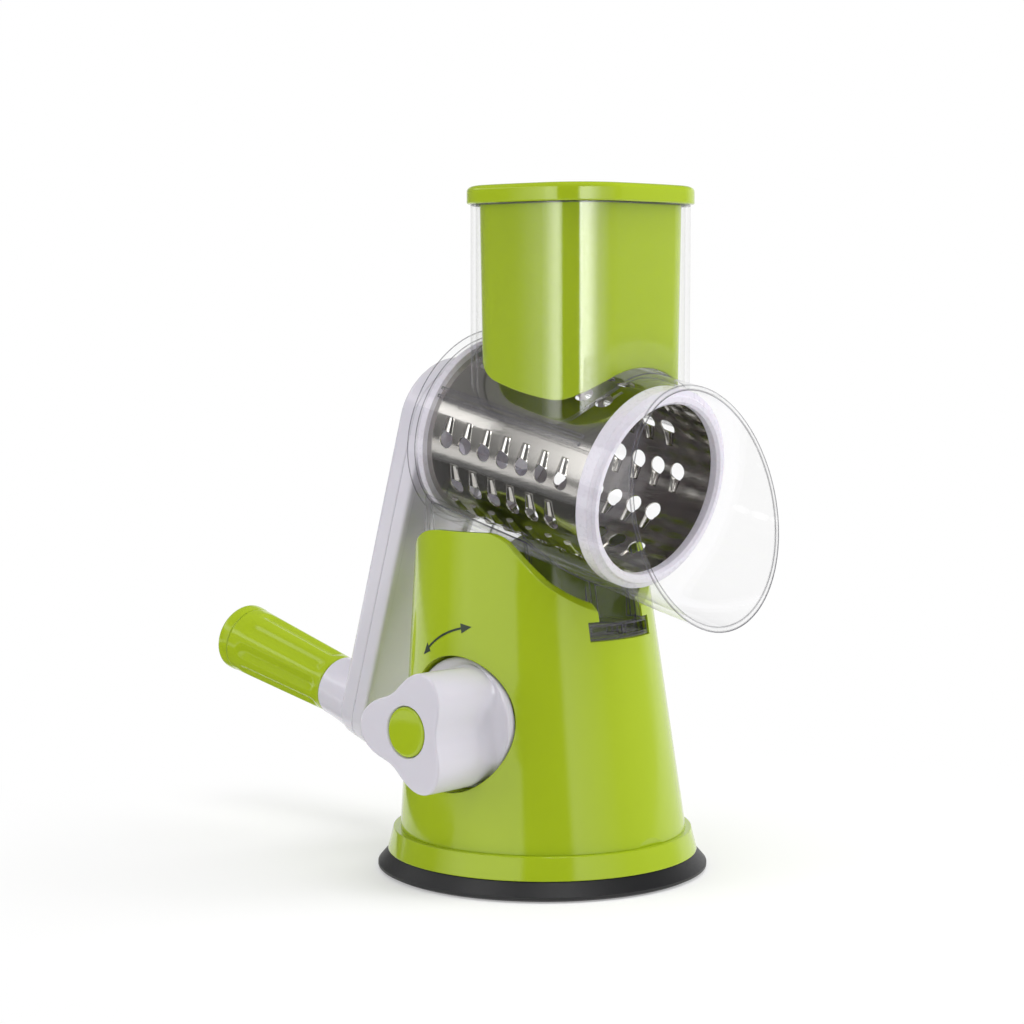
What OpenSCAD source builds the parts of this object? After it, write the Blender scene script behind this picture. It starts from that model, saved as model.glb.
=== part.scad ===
// Rotary cabbage shredder: a suction base, a clear feed housing with a square chute and an open mouth,
// a toothed steel drum turned by a crank, and a pusher with a lid.
// Millimetres. The origin lies on the table under the middle of the suction cup and +Z is up.
// The mouth faces -Y, the crank is at +Y and the lock knob is at -X.

/* [Overall] */
// Height from the table to the top of the pusher's lid
total_h = 240; // [232:1:256]
// Height of the drum axis above the table, over the middle of the base
axis_z = 148.5; // [147:0.5:151]
// Fall of the drum axis toward the mouth, in degrees
drum_tilt = 12.5; // [11:0.5:14]

/* [Suction cup] */
// Diameter of the rubber lip
cup_d = 117; // [115:1:126]
// Height of the rubber shoulder that the base ring stands on
cup_h = 6.4; // [5.6:0.1:8]
// Thickness of the rubber over the hollow
cup_web = 3; // [2:0.1:4]
// Width of the flat sealing band under the lip
seal_w = 7; // [5:0.5:10]
// Radius of the plate moulded over the cup's middle
plate_r = 17; // [12:1:24]
// Thickness of that plate
plate_t = 2.4; // [1.8:0.1:3]

/* [Base ring] */
// Diameter of the ring's lower edge
ring_d = 110; // [108:1:112]
// Height of the ring's top ledge above the table
ring_top_z = 14.2; // [12.5:0.1:15.5]
// Width of the ledge that shows round the body's foot
ring_ledge = 2.3; // [1.5:0.1:3]
// Wall of the ring
ring_wall = 2.4; // [2:0.1:3]

/* [Base body] */
// Radius of the body at its foot
body_r = 50.7; // [50:0.1:52]
// Narrowing of the body for each unit of height
body_taper = 0.101; // [0.098:0.001:0.108]
// Lean of the body toward the crank, in degrees
body_lean = 3.7; // [3:0.1:4.2]
// Wall of the body
body_wall = 2.4; // [2:0.1:2.8]
// Height of the two ears beside the barrel
ear_z = 121.5; // [118:0.5:124]
// Height of the front rim, over the T foot
front_rim_z = 91.6; // [90.6:0.2:93]
// Height of the rear rim
rear_rim_z = 104; // [98:0.5:108]
// Height of the deck that carries the housing's shoe
deck_z = 82; // [80:0.5:83.5]

/* [Lock] */
// Height of the knob's axis
knob_z = 56; // [54:0.5:58]
// Diameter of the knob
knob_d = 45; // [42:0.5:46]
// Height of the knob over the floor of its pocket
knob_h = 30.5; // [24:0.5:32]
// Diameter of the green cap in the knob
cap_d = 17.6; // [14:0.1:18]
// Distance from the knob's axis to the middle of each finger scallop
knob_waist = 11.3; // [10.6:0.1:13]
// Rise of the cup's middle when the knob is turned to the lock
cup_lift = 4; // [3:0.1:4.5]

/* [Feed housing] */
// Outer radius of the barrel at its rear wall
barrel_r = 36; // [35.8:0.1:37]
// Widening of the barrel for each unit of length toward the mouth
barrel_taper = 0.019; // [0.016:0.001:0.024]
// Wall of the clear plastic
clear_wall = 1.8; // [1.5:0.1:2]
// Height of the middle of the mouth's rim
mouth_z = 132.8; // [131:0.5:135]
// Reach of the middle of the mouth's rim in front of the base's middle
mouth_y = 74.1; // [70:0.5:80]
// Upward turn of the mouth's opening, in degrees
mouth_tilt = 11.6; // [9:0.1:14]
// Outer width of the chute, from side to side
chute_w = 66.5; // [64:0.5:68]
// Outer length of the chute, from front to rear
chute_l = 63.5; // [60:0.5:65]
// Outer radius of the chute's corners
chute_corner = 19; // [12:0.5:22]
// Distance of the chute's middle in front of the base's middle
chute_y = 17.8; // [16:0.2:19]

/* [Drum] */
// Outer radius of the steel sheet
drum_r = 31; // [30.5:0.1:31.4]
// Thickness of the steel sheet
sheet_t = 0.6; // [0.4:0.05:0.8]
// Place of the sheet's rear edge along the drum axis, from the base's middle
drum_rear = -26.5; // [-27:0.1:-25.5]
// Place of the front ring's face along the drum axis
drum_front = 55.8; // [54:0.1:57]
// Outer radius of the front ring
ring_out_r = 35; // [34.4:0.1:35.2]
// Radius of the front ring's opening
ring_hole_r = 29.9; // [29:0.1:30]
// Number of places for rows of teeth round the drum; the sheet's seam takes one of them
tooth_rows = 12; // [10:2:14]
// Distance between two teeth of a row
tooth_pitch = 9.15; // [8.6:0.05:9.6]
// Radius of a tooth's hole
tooth_r = 3.1; // [2.4:0.1:3.4]
// Length of the hood that rises to each hole
hood_l = 8; // [6:0.1:9]

/* [Crank] */
// Place of the arm's parting face along the drum axis
crank_s = -45; // [-48:0.5:-43]
// Lean of the arm away from the housing, in degrees
arm_lean = 7; // [4:0.5:9]
// Length of the arm from the drum axis to the grip's axis
crank_l = 118; // [112:0.5:119]
// Radius of the arm round the drum axis
arm_head_r = 21; // [19:0.5:24]
// Radius of the arm round the grip's axis
arm_foot_r = 14.5; // [14:0.5:18]
// Thickness of the front shell of the arm
front_shell_t = 6; // [5:0.5:7]
// Thickness of the rear shell of the arm
rear_shell_t = 8; // [7:0.5:9]
// Wall of both shells
arm_wall = 2.2; // [1.8:0.1:2.6]
// Length of the cone from the arm to the grip
collar_l = 15.5; // [12:0.5:20]

/* [Grip] */
// Upward turn of the grip's axis from the drum axis, in degrees
grip_lean = 1; // [0:0.5:3]
// Length of the grip from its foot to the end of its cap
grip_l = 62; // [54:0.5:80]
// Radius of the grip at its foot
grip_foot_r = 11.2; // [10.5:0.1:12]
// Radius of the grip at its cap
grip_tip_r = 13.1; // [12.5:0.1:15]
// Number of flutes round the grip
flutes = 8; // [6:1:9]

/* [Pusher] */
// Wall of the pusher
pusher_wall = 2; // [1.6:0.1:2.4]
// Gap between the pusher and the chute
pusher_gap = 0.6; // [0.4:0.1:1]
// Narrowing of each side of the pusher from its top to its foot
pusher_draft = 1.4; // [0.6:0.1:1.8]
// Radius of the hollow under the pusher, about the drum axis
pusher_foot_r = 38.4; // [38:0.1:42]
// Height of the lid
lid_h = 6.5; // [5.5:0.1:8]
// Overhang of the lid past the chute
lid_over = 2.1; // [1.5:0.1:3]

/* [Hidden] */

$fn = 96;
// Run of a cut past the face that it opens
cut = 1;
// Gap of a running fit, on the radius
run_gap = 0.08;
// Gap between faces that nearly meet
face_gap = 0.3;
// Play round pieces that are dropped into each other
seat_gap = 0.4;

// Sizes of the cup
cup_r = cup_d / 2;
lip_t = 1.8;
cup_shoulder_in = 4;
cup_well_r = 20;

// Sizes of the stem and its yoke
stem_r = 5;
stud_r = 2.5;
stud_l = 7;
stem_foot_r = 9;
stem_foot_t = 2.5;
plate_z = cup_h + face_gap;
stem_z = plate_z + plate_t;
yoke_t = 4;
yoke_half_w = 6.5;
yoke_gap = 0.3;

// Sizes of the base ring's floor
ring_r = ring_d / 2;
floor_z = stem_z + stem_foot_t + cup_lift + 2 * face_gap;
floor_t = 2.2;
spigot_r = body_r - body_wall - 4 * seat_gap;
guide_r = 9;
guide_h = 10;
rib_t = 1.6;
rib_count = 6;
screw_count = 3;
screw_place_r = 40.6;
screw_r = 1.5;
screw_head_r = 3.2;
screw_head_t = 2;
screw_l = 11;
post_r = 4.4;
post_h = 16;

// Sizes of the body's top
body_top = axis_z;
deck_t = 2.2;
ear_rear = 12;
ear_rear_r = 36;
ear_corner = 11;
ear_slope = 51;
slope_y = 25.6;
slope_z = 104.8;
ear_front = slope_y - (ear_z - slope_z) / tan(ear_slope) - ear_corner * tan(ear_slope / 2);
rim_r = 9;

// Sizes of the lock
cam_r = 3;
cam_throw = cup_lift / (2 * sin(45));
web_t = 2;
web_rim = 1;
journal_r = 6;
end_journal_r = 5;
knob_play = 0.8;
pocket_r = knob_d / 2 + knob_play;
pocket_x = 37.2;
pocket_t = 2.4;
shaft_boss_r = 10;
shaft_boss_l = 8;
hanger_x = 11.5;
hanger_t = 3;
hanger_w = 26;
key_w = 7;
key_l = 12;
knob_flange_t = 4;
knob_base_x = pocket_x + face_gap;
knob_face_x = pocket_x + knob_h;
knob_bevel = 1.4;
lobe_r = knob_d / 2;
lobe_peak_share = 0.11;
cap_t = 2.4;
cap_proud = 0.3;
knob_well_r = 5;
knob_screw_l = 15;

// Places along the drum axis
hub_ring_l = 2.7;
rear_wall_s = drum_rear - hub_ring_l - seat_gap;
barrel_s = rear_wall_s - clear_wall;
bearing_r = 8;
bearing_wall = 3;
bearing_l = 6;
barrel_end = 110;
barrel_front_r = barrel_r + barrel_taper * (barrel_end - barrel_s);

// Sizes of the T foot and its slot
tee_half_w = 15;
tee_neck_half_w = 10.8;
tee_z = deck_z + deck_t + 2 * seat_gap;
tee_h = 5.8;
tee_inset = 0.5;
tee_back = 30;
tee_neck_h = 20;
tee_wall = 1.3;
shoe_in = body_wall + seat_gap;
shoe_z = deck_z + deck_t;
shoe_half_w = 28.5;

// Sizes of the seams along the barrel
seam_angles = [152, 156.5, 23.5, 28];
seam_w = 1.1;
seam_h = 0.6;
seam_rear = -21;
seam_front = 46;

// Sizes of the drum
groove_gap = 0.06;
front_ring_l = 6.6;
sheet_in_ring = 3.6;
ring_soft = 1;
ring_step_r = 2.4;
ring_step_l = 1.8;
ring_bevel = 0.6;
hub_seat_l = 5;
hub_ring_r = 33.2;
hub_r = 9.5;
hub_l = 20;
hub_hole_count = 6;
hub_hole_r = 6.6;
hex_r = 5;
hex_gap = 0.12;
row_step = 360 / tooth_rows;
first_row = 270;
first_tooth = -17.6;
short_row = 6;
long_row = 7;
hood_top_r = 1.9;
hood_wall = 0.5;
hood_sink = 1.7;
seam_row = 4;

// Sizes inside the crank
hub_journal_r = bearing_r - run_gap;
panel_border = 3.4;
panel_depth = 1.2;
arm_tuck = 0.12;
arm_boss_r = 4.2;
arm_screw_places = [-34, -72];
arm_screw_r = 1.4;
arm_screw_head_r = 2.6;
arm_screw_head_t = 1.8;
shaft_seat = 5;
collar_root_r = 13.4;
collar_tip_r = 11.6;
spindle_r = 4;
spindle_head_r = 8;
spindle_head_t = 2;
washer_r = 7.4;
washer_t = 1;
grip_screw_head_r = 4.4;
grip_screw_head_t = 2.4;
grip_screw_l = 9;
grip_screw_r = 2;
cap_l = 9;
cap_spigot_l = 4;
cap_spigot_wall = 1.6;
flute_r = 4.2;
flute_depth = 1.1;
flute_start = 2;
flute_end = 16;
grip_edge = 0.7;
cap_over = 0.3;
dome_share = 0.45;

// Places along the grip's axis
grip_z = rear_shell_t + collar_l + face_gap;
grip_end = grip_z + grip_l;
shoulder_z = grip_end - cap_l - cap_spigot_l - grip_screw_head_t - washer_t - face_gap;

// Sizes of the pusher and its lid
pusher_top_w = chute_w / 2 - clear_wall - pusher_gap;
pusher_top_l = chute_l / 2 - clear_wall - pusher_gap;
lid_z = total_h - lid_h;
chute_top = lid_z - face_gap / 2;
lid_crown = 2.2;
lid_spigot_h = 5;
pusher_floor_t = 2.4;

// Points of an arc about (x, y), from angle a to angle b
function arc(x, y, r, a, b, steps = 12) =
    [for (i = [0:steps]) [x + r * cos(a + (b - a) * i / steps), y + r * sin(a + (b - a) * i / steps)]];

// Puts its children on the drum axis: local Z runs toward the mouth, local Y up, s along the axis
module on_axis(s = 0) {
    translate([0, 0, axis_z]) rotate([90 + drum_tilt, 0, 0]) translate([0, 0, s]) children();
}

// Puts its children on the crank: local Z toward the mouth, local -Y down the hanging arm
module on_crank() {
    on_axis(crank_s) rotate([arm_lean, 0, 0]) children();
}

// Puts its children on the grip's axis: local Z runs away from the arm
module on_grip(z = 0) {
    on_crank() translate([0, -crank_l, 0]) rotate([180 + grip_lean - arm_lean, 0, 0])
        translate([0, 0, z]) children();
}

// Puts its children on the knob's axis: local Z runs outward from the body, local X up
module on_knob(x = 0) {
    translate([-x, 0, knob_z]) rotate([0, -90, 0]) children();
}

// Rounded rectangle with true arcs at its corners
module round_rect(half_w, half_l, r) {
    square([2 * (half_w - r), 2 * half_l], center = true);
    square([2 * half_w, 2 * (half_l - r)], center = true);
    for (x = [-1, 1], y = [-1, 1]) translate([x * (half_w - r), y * (half_l - r)]) circle(r);
}

// The body's leaning cone, drawn inward by inset, from the ring's ledge to the drum axis
module body_cone(inset = 0) {
    h = body_top;
    intersection() {
        translate([0, 0, ring_top_z]) rotate([-body_lean, 0, 0]) translate([0, 0, -ring_top_z])
            cylinder(h = h, r1 = body_r + body_taper * ring_top_z - inset,
                r2 = body_r - body_taper * (h - ring_top_z) - inset);
        translate([-body_r, -body_r, ring_top_z]) cube([2 * body_r, 2 * body_r, h]);
    }
}

// Side outline of all that is cut away over the body's rim, in Y and Z
module rim_outline() {
    far = 2 * body_r;
    rear_a = asin((rear_rim_z - ear_z + ear_rear_r) / ear_rear_r);
    polygon(concat(
        [[-far, far + ear_z], [-far, front_rim_z]],
        [[-(body_r - body_wall - rim_r), front_rim_z]],
        [[-slope_y, slope_z]],
        arc(-ear_front, ear_z - ear_corner, ear_corner, 90 + ear_slope, 90),
        arc(ear_rear, ear_z - ear_rear_r, ear_rear_r, 90, rear_a),
        [[far, rear_rim_z], [far, far + ear_z]]));
}

module barrel_solid(inset, from) {
    on_axis(from) cylinder(h = barrel_end - from,
        r1 = barrel_r + barrel_taper * (from - barrel_s) - inset, r2 = barrel_front_r - inset);
}

// Everything in front of the mouth's rim
module beyond_mouth() {
    far = barrel_end;
    translate([0, -mouth_y, mouth_z]) rotate([-mouth_tilt, 0, 0])
        translate([-far, -2 * far, -far]) cube([2 * far, 2 * far, 2 * far]);
}

module chute_prism(inset, top) {
    translate([0, -chute_y, axis_z]) linear_extrude(top - axis_z)
        round_rect(chute_w / 2 - inset, chute_l / 2 - inset, chute_corner - inset);
}

module suction_cup() {
    color("#1c1c1e") rotate_extrude() polygon([
        [0, cup_h - cup_web], [cup_well_r, cup_h - cup_web], [cup_r - seal_w, 0], [cup_r - lip_t, 0],
        [cup_r, lip_t / 2], [cup_r, lip_t], [cup_r - cup_shoulder_in, cup_h], [0, cup_h]]);
}

module cup_plate() {
    color("#e8e8ec") {
        translate([0, 0, plate_z]) cylinder(h = plate_t, r = plate_r);
        translate([0, 0, plate_z + plate_t]) cylinder(h = stud_l, r = stud_r);
    }
}

// The stem lifts the plate when the cam pin rises in its open yoke
module lift_stem() {
    pin_z = knob_z - cam_throw * sin(45);
    slot_h = 2 * (cam_r + yoke_gap);
    yoke_y = cam_throw + cam_r + yoke_gap;
    low = pin_z - slot_h / 2 - yoke_t;
    color("#f2f2f4") difference() {
        union() {
            translate([0, 0, stem_z]) cylinder(h = stem_foot_t, r = stem_foot_r);
            translate([0, 0, stem_z]) cylinder(h = low + yoke_t / 2 - stem_z, r = stem_r);
            translate([-yoke_half_w, -yoke_y - yoke_t, low])
                cube([2 * yoke_half_w, 2 * (yoke_y + yoke_t), slot_h + 2 * yoke_t]);
        }
        translate([-yoke_half_w - cut, -yoke_y - yoke_t - cut, pin_z - slot_h / 2])
            cube([2 * (yoke_half_w + cut), 2 * yoke_y + yoke_t + cut, slot_h]);
        translate([0, 0, stem_z - cut]) cylinder(h = stud_l + 2 * cut, r = stud_r + run_gap);
    }
}

module base_ring() {
    bore = stem_r + run_gap;
    top = floor_z + floor_t;
    color("#9ccb1e") difference() {
        union() {
            rotate_extrude() polygon([
                [bore, floor_z], [spigot_r - ring_wall, floor_z],
                    [spigot_r - ring_wall, ring_top_z - ring_wall],
                [ring_r - ring_ledge - ring_wall, ring_top_z - ring_wall], [ring_r - ring_wall, cup_h],
                [ring_r, cup_h], [body_r + ring_ledge, ring_top_z], [spigot_r, ring_top_z], [spigot_r, top],
                [guide_r, top], [guide_r, top + guide_h], [bore, top + guide_h]]);
            for (i = [0:rib_count - 1]) rotate([0, 0, 360 / rib_count * i])
                translate([guide_r - rib_t, -rib_t / 2, top - rib_t])
                    cube([spigot_r - guide_r, rib_t, 2 * rib_t]);
        }
        for (i = [0:screw_count - 1]) rotate([0, 0, 90 + 360 / screw_count * i])
            translate([screw_place_r, 0, floor_z - cut])
                cylinder(h = floor_t + 2 * cut, r = screw_r + run_gap);
    }
}

// Green shell with two ears, a T slot, a pocket for the knob, a deck and the bearings of the cam shaft
module base_body() {
    post_z = floor_z + floor_t;
    color("#a4d025") difference() {
        union() {
            difference() {
                body_cone();
                body_cone(body_wall);
            }
            intersection() {
                body_cone(body_wall / 2);
                union() {
                    translate([-body_r, -body_r, deck_z]) cube([2 * body_r, 2 * body_r, deck_t]);
                    on_knob(pocket_x - pocket_t) cylinder(h = body_r, r = pocket_r + pocket_t);
                    on_knob(pocket_x - pocket_t - shaft_boss_l)
                        cylinder(h = shaft_boss_l + pocket_t / 2, r = shaft_boss_r);
                    translate([hanger_x, -hanger_w / 2, knob_z])
                        cube([hanger_t, hanger_w, deck_z + deck_t / 2 - knob_z]);
                    translate([hanger_x, 0, knob_z]) rotate([0, 90, 0])
                        cylinder(h = hanger_t, r = hanger_w / 2);
                    for (i = [0:screw_count - 1]) rotate([0, 0, 90 + 360 / screw_count * i])
                        translate([screw_place_r, 0, post_z]) {
                            cylinder(h = post_h, r = post_r);
                            translate([0, -rib_t / 2, 0]) cube([body_r, rib_t, post_h]);
                        }
                }
            }
        }
        on_knob(pocket_x) cylinder(h = body_r, r = pocket_r);
        on_knob(0) cylinder(h = body_r, r = journal_r + run_gap);
        translate([hanger_x - cut, 0, knob_z]) rotate([0, 90, 0])
            cylinder(h = hanger_t + 2 * cut, r = end_journal_r + run_gap);
        for (i = [0:screw_count - 1]) rotate([0, 0, 90 + 360 / screw_count * i])
            translate([screw_place_r, 0, post_z - cut]) cylinder(h = screw_l + cut, r = screw_r + run_gap);
        translate([-body_r, 0, 0]) rotate([90, 0, 90]) linear_extrude(2 * body_r) rim_outline();
        translate([-tee_half_w - seat_gap, -body_r, tee_z - seat_gap])
            cube([2 * (tee_half_w + seat_gap), body_r / 2, tee_h + 2 * seat_gap]);
        translate([-tee_neck_half_w - seat_gap, -body_r, tee_z])
            cube([2 * (tee_neck_half_w + seat_gap), body_r / 2, body_top]);
    }
}

module base_screws() {
    color("#b9bcc0") for (i = [0:screw_count - 1]) rotate([0, 0, 90 + 360 / screw_count * i])
        translate([screw_place_r, 0, floor_z]) {
            translate([0, 0, -screw_head_t]) cylinder(h = screw_head_t, r = screw_head_r);
            cylinder(h = screw_l, r = screw_r);
        }
}

// Stepped shaft with an offset pin between two webs
module cam_shaft() {
    web_r = cam_throw + cam_r + web_rim;
    pin_half = yoke_half_w + face_gap;
    inner = pin_half + web_t;
    color("#f2f2f4") difference() {
        union() {
            on_knob(inner) cylinder(h = pocket_x - inner, r = journal_r);
            on_knob(pocket_x) translate([-key_w / 2, -key_w / 2, 0]) cube([key_w, key_w, key_l]);
            on_knob(pin_half) cylinder(h = web_t, r = web_r);
            on_knob(-inner) cylinder(h = web_t, r = web_r);
            translate([inner, 0, knob_z]) rotate([0, 90, 0])
                cylinder(h = hanger_x + hanger_t - inner, r = end_journal_r);
            translate([-pin_half, cam_throw * cos(45), knob_z - cam_throw * sin(45)])
                rotate([0, 90, 0]) cylinder(h = 2 * pin_half, r = cam_r);
        }
        on_knob(pocket_x + key_l - knob_screw_l) cylinder(h = knob_screw_l + cut, r = screw_r + run_gap);
    }
}

// Outline of the three lobes: the scallops lie at knob_waist, the lobes reach the knob's edge
module lobe_outline() {
    mean = (lobe_r + knob_waist) / 2;
    swing = (lobe_r - knob_waist) / 2;
    peak = lobe_peak_share * mean;
    polygon([for (a = [0:3:357]) (mean - peak + swing * cos(3 * a) + peak * cos(6 * a))
        * [sin(a), cos(a)]]);
}

// Round flange with three lobes; each scallop's floor dips in its middle
module lock_knob() {
    body_h = knob_face_x - knob_base_x;
    well_z = knob_face_x - knob_base_x - cap_t + cap_proud;
    seat_z = pocket_x + key_l + face_gap - knob_base_x;
    color("#e9e7ee") on_knob(knob_base_x) difference() {
        union() {
            cylinder(h = knob_flange_t, r = lobe_r);
            linear_extrude(body_h - knob_bevel) lobe_outline();
            translate([0, 0, body_h - knob_bevel])
                linear_extrude(knob_bevel, scale = 1 - knob_bevel / lobe_r)
                lobe_outline();
        }
        translate([0, 0, well_z]) cylinder(h = cap_t + cut, r = cap_d / 2);
        translate([0, 0, seat_z + screw_head_t]) cylinder(h = body_h, r = knob_well_r);
        translate([0, 0, -cut]) cylinder(h = body_h, r = screw_r + run_gap);
        translate([-key_w / 2 - run_gap, -key_w / 2 - run_gap, -cut])
            cube([key_w + 2 * run_gap, key_w + 2 * run_gap, seat_z + cut]);
    }
}

module knob_cap() {
    color("#a2cb2b") on_knob(knob_face_x - cap_t + cap_proud) cylinder(h = cap_t, r = cap_d / 2 - run_gap);
}

module knob_screw() {
    color("#b9bcc0") on_knob(pocket_x + key_l + face_gap + screw_head_t) {
        cylinder(h = screw_head_t, r = screw_head_r);
        translate([0, 0, -knob_screw_l + 2 * screw_head_t])
            cylinder(h = knob_screw_l - 2 * screw_head_t, r = screw_r);
    }
}

// T foot in the body's slot; its bar is hollowed into two cells from the front
module tee_foot() {
    bar_w = 2 * tee_half_w;
    neck_w = 2 * tee_neck_half_w;
    cell_w = tee_half_w - 1.5 * tee_wall;
    difference() {
        intersection() {
            body_cone(tee_inset);
            union() {
                translate([-tee_half_w, -body_r, tee_z]) cube([bar_w, body_r - tee_back, tee_h]);
                translate([-tee_neck_half_w, -body_r, tee_z]) cube([neck_w, body_r - tee_back, tee_neck_h]);
            }
        }
        for (side = [-1, 1]) translate([side * tee_half_w / 2 - cell_w / 2, -body_r, tee_z + tee_wall])
            cube([cell_w, body_r - tee_back - tee_wall, tee_h - 2 * tee_wall]);
    }
}

// Barrel, chute, shoe, T foot and rear bearing in one clear moulding
module feed_housing() {
    bearing_out = bearing_r + bearing_wall;
    color([0.85, 0.9, 0.9, 0.35]) difference() {
        union() {
            difference() {
                union() {
                    barrel_solid(0, barrel_s);
                    chute_prism(0, chute_top);
                    for (a = seam_angles) on_axis(seam_rear) rotate([0, 0, a])
                        translate([barrel_r - clear_wall / 2, -seam_w / 2, 0])
                            cube([clear_wall / 2 + seam_h + barrel_taper * (seam_front - barrel_s), seam_w,
                                seam_front - seam_rear]);
                    difference() {
                        intersection() {
                            body_cone(shoe_in);
                            translate([-shoe_half_w, -body_r, shoe_z])
                                cube([2 * shoe_half_w, 2 * body_r, axis_z - shoe_z]);
                            on_axis(barrel_s) translate([-body_r, -2 * body_r, 0])
                                cube([2 * body_r, 3 * body_r, 3 * body_r]);
                        }
                        difference() {
                            intersection() {
                                body_cone(shoe_in + clear_wall);
                                translate([clear_wall - shoe_half_w, -body_r, 0])
                                    cube([2 * (shoe_half_w - clear_wall), 2 * body_r, axis_z]);
                            }
                            barrel_solid(0, barrel_s);
                        }
                    }
                    tee_foot();
                }
                barrel_solid(clear_wall, rear_wall_s);
                chute_prism(clear_wall, chute_top + cut);
                beyond_mouth();
            }
            on_axis(barrel_s - bearing_l + clear_wall) cylinder(h = bearing_l, r = bearing_out);
        }
        on_axis(barrel_s - bearing_l) cylinder(h = 2 * bearing_l, r = bearing_r);
    }
}

// Cone of a hood, drawn inward by inset; its axis lies under the sheet and runs away from the hole
module hood(inset = 0) {
    translate([0, 0, -hood_sink]) rotate([-90, 0, 0])
        cylinder(h = hood_l - inset, r1 = tooth_r + hood_wall - inset, r2 = hood_top_r - inset / 2);
}

// Puts a child at each tooth: local Z outward, local Y back along the hood; the sheet's seam has no teeth
module at_teeth() {
    for (i = [0:tooth_rows - 1]) if (i != seam_row) {
        count = i % 2 == 0 ? short_row : long_row;
        start = i % 2 == 0 ? first_tooth + tooth_pitch / 2 : first_tooth;
        for (k = [0:count - 1]) rotate([0, 0, first_row - row_step * i])
            translate([drum_r - sheet_t / 2, 0, start + tooth_pitch * k]) rotate([0, 90, 0])
                rotate([0, 0, 180])
                children();
    }
}

// Rolled steel sheet with staggered rows of hooded holes
module drum_blade() {
    color("#c9cbce") on_axis() difference() {
        difference() {
            difference() {
                union() {
                    translate([0, 0, drum_rear])
                        cylinder(h = drum_front - sheet_in_ring - drum_rear, r = drum_r);
                    at_teeth() hood();
                }
                translate([0, 0, drum_rear - cut])
                    cylinder(h = drum_front - drum_rear, r = drum_r - sheet_t);
            }
            at_teeth() hood(sheet_t);
        }
        at_teeth() rotate([0, 0, -90]) translate([0, 0, -drum_r / 4]) cylinder(h = drum_r / 2, r = tooth_r);
    }
}

// Stepped ring that grips the sheet's front edge
module drum_front_ring() {
    back = drum_front - front_ring_l;
    seat = drum_front - sheet_in_ring;
    groove_r = drum_r + groove_gap;
    color("#eceaf1") on_axis() rotate_extrude() polygon([
        [ring_hole_r, drum_front - ring_soft], [ring_hole_r + ring_soft, drum_front],
        [ring_out_r - ring_step_r, drum_front],
        [ring_out_r - ring_step_r + ring_bevel, drum_front - ring_step_l + ring_bevel],
        [ring_out_r, drum_front - ring_step_l], [ring_out_r, back], [groove_r + ring_bevel, back],
        [groove_r, back + ring_bevel], [groove_r, seat], [ring_hole_r, seat]]);
}

// Rear ring, spokes and hexagonal socket
module drum_rear_hub() {
    seat_r = drum_r - sheet_t - groove_gap;
    color("#eceaf1") on_axis(drum_rear - hub_ring_l) difference() {
        union() {
            cylinder(h = hub_ring_l, r = hub_ring_r);
            cylinder(h = hub_ring_l + hub_seat_l, r = seat_r);
        }
        translate([0, 0, hub_ring_l]) difference() {
            cylinder(h = hub_seat_l + cut, r = seat_r - 2 * clear_wall);
            cylinder(h = hub_l, r = hub_r);
        }
        for (i = [0:hub_hole_count - 1]) rotate([0, 0, 360 / hub_hole_count * (i + 0.5)])
            translate([(hub_r + seat_r) / 2, 0, -cut]) cylinder(h = hub_ring_l + 2 * cut, r = hub_hole_r);
        translate([0, 0, -cut]) cylinder(h = hub_l, r = hex_r + hex_gap, $fn = 6);
    }
    color("#eceaf1") on_axis(drum_rear + hub_seat_l) difference() {
        cylinder(h = hub_l - hub_seat_l, r = hub_r);
        translate([0, 0, -cut]) cylinder(h = hub_l, r = hex_r + hex_gap, $fn = 6);
    }
}

// Hexagonal steel bar from the crank into the drum's hub
module drive_shaft() {
    start = crank_s + shaft_seat;
    color("#c3c6ca") on_axis(start) cylinder(h = drum_rear + hub_l / 2 - start, r = hex_r, $fn = 6);
}

// Outline of the arm, drawn inward by inset: two circles and straight sides just under their tangents
module arm_outline(inset = 0) {
    r1 = arm_head_r - inset;
    r2 = arm_foot_r - inset;
    a = asin((arm_head_r - arm_foot_r) / crank_l);
    s1 = r1 - arm_tuck;
    s2 = r2 - arm_tuck;
    circle(r1);
    translate([0, -crank_l]) circle(r2);
    polygon([[s1 * cos(a), -s1 * sin(a)], [s2 * cos(a), -crank_l - s2 * sin(a)],
        [-s2 * cos(a), -crank_l - s2 * sin(a)], [-s1 * cos(a), -s1 * sin(a)]]);
}

// Front half of the arm, with the journal that turns in the housing
module crank_front_shell() {
    journal_l = rear_wall_s - crank_s - face_gap;
    color("#f1f0f5") difference() {
        union() {
            on_crank() difference() {
                linear_extrude(front_shell_t) arm_outline();
                translate([0, 0, -cut]) linear_extrude(front_shell_t - arm_wall - panel_depth + cut)
                    arm_outline(arm_wall);
                translate([0, 0, front_shell_t - panel_depth]) intersection() {
                    linear_extrude(panel_depth + cut) arm_outline(panel_border);
                    translate([-arm_head_r, -2 * crank_l - arm_head_r - panel_border, 0])
                        cube([2 * arm_head_r, 2 * crank_l, 2 * panel_depth]);
                }
            }
            on_crank() for (y = arm_screw_places) translate([0, y, 0])
                cylinder(h = front_shell_t - arm_wall, r = arm_boss_r);
            on_crank() cylinder(h = front_shell_t - arm_wall, r = bearing_r + bearing_wall);
            on_axis(crank_s + front_shell_t / 2)
                cylinder(h = journal_l - front_shell_t / 2, r = hub_journal_r);
        }
        on_axis(crank_s - 2 * cut) cylinder(h = journal_l + 3 * cut, r = hex_r + hex_gap, $fn = 6);
        on_crank() for (y = arm_screw_places) translate([0, y, -cut])
            cylinder(h = front_shell_t - arm_wall, r = arm_screw_r + run_gap);
    }
}

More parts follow.
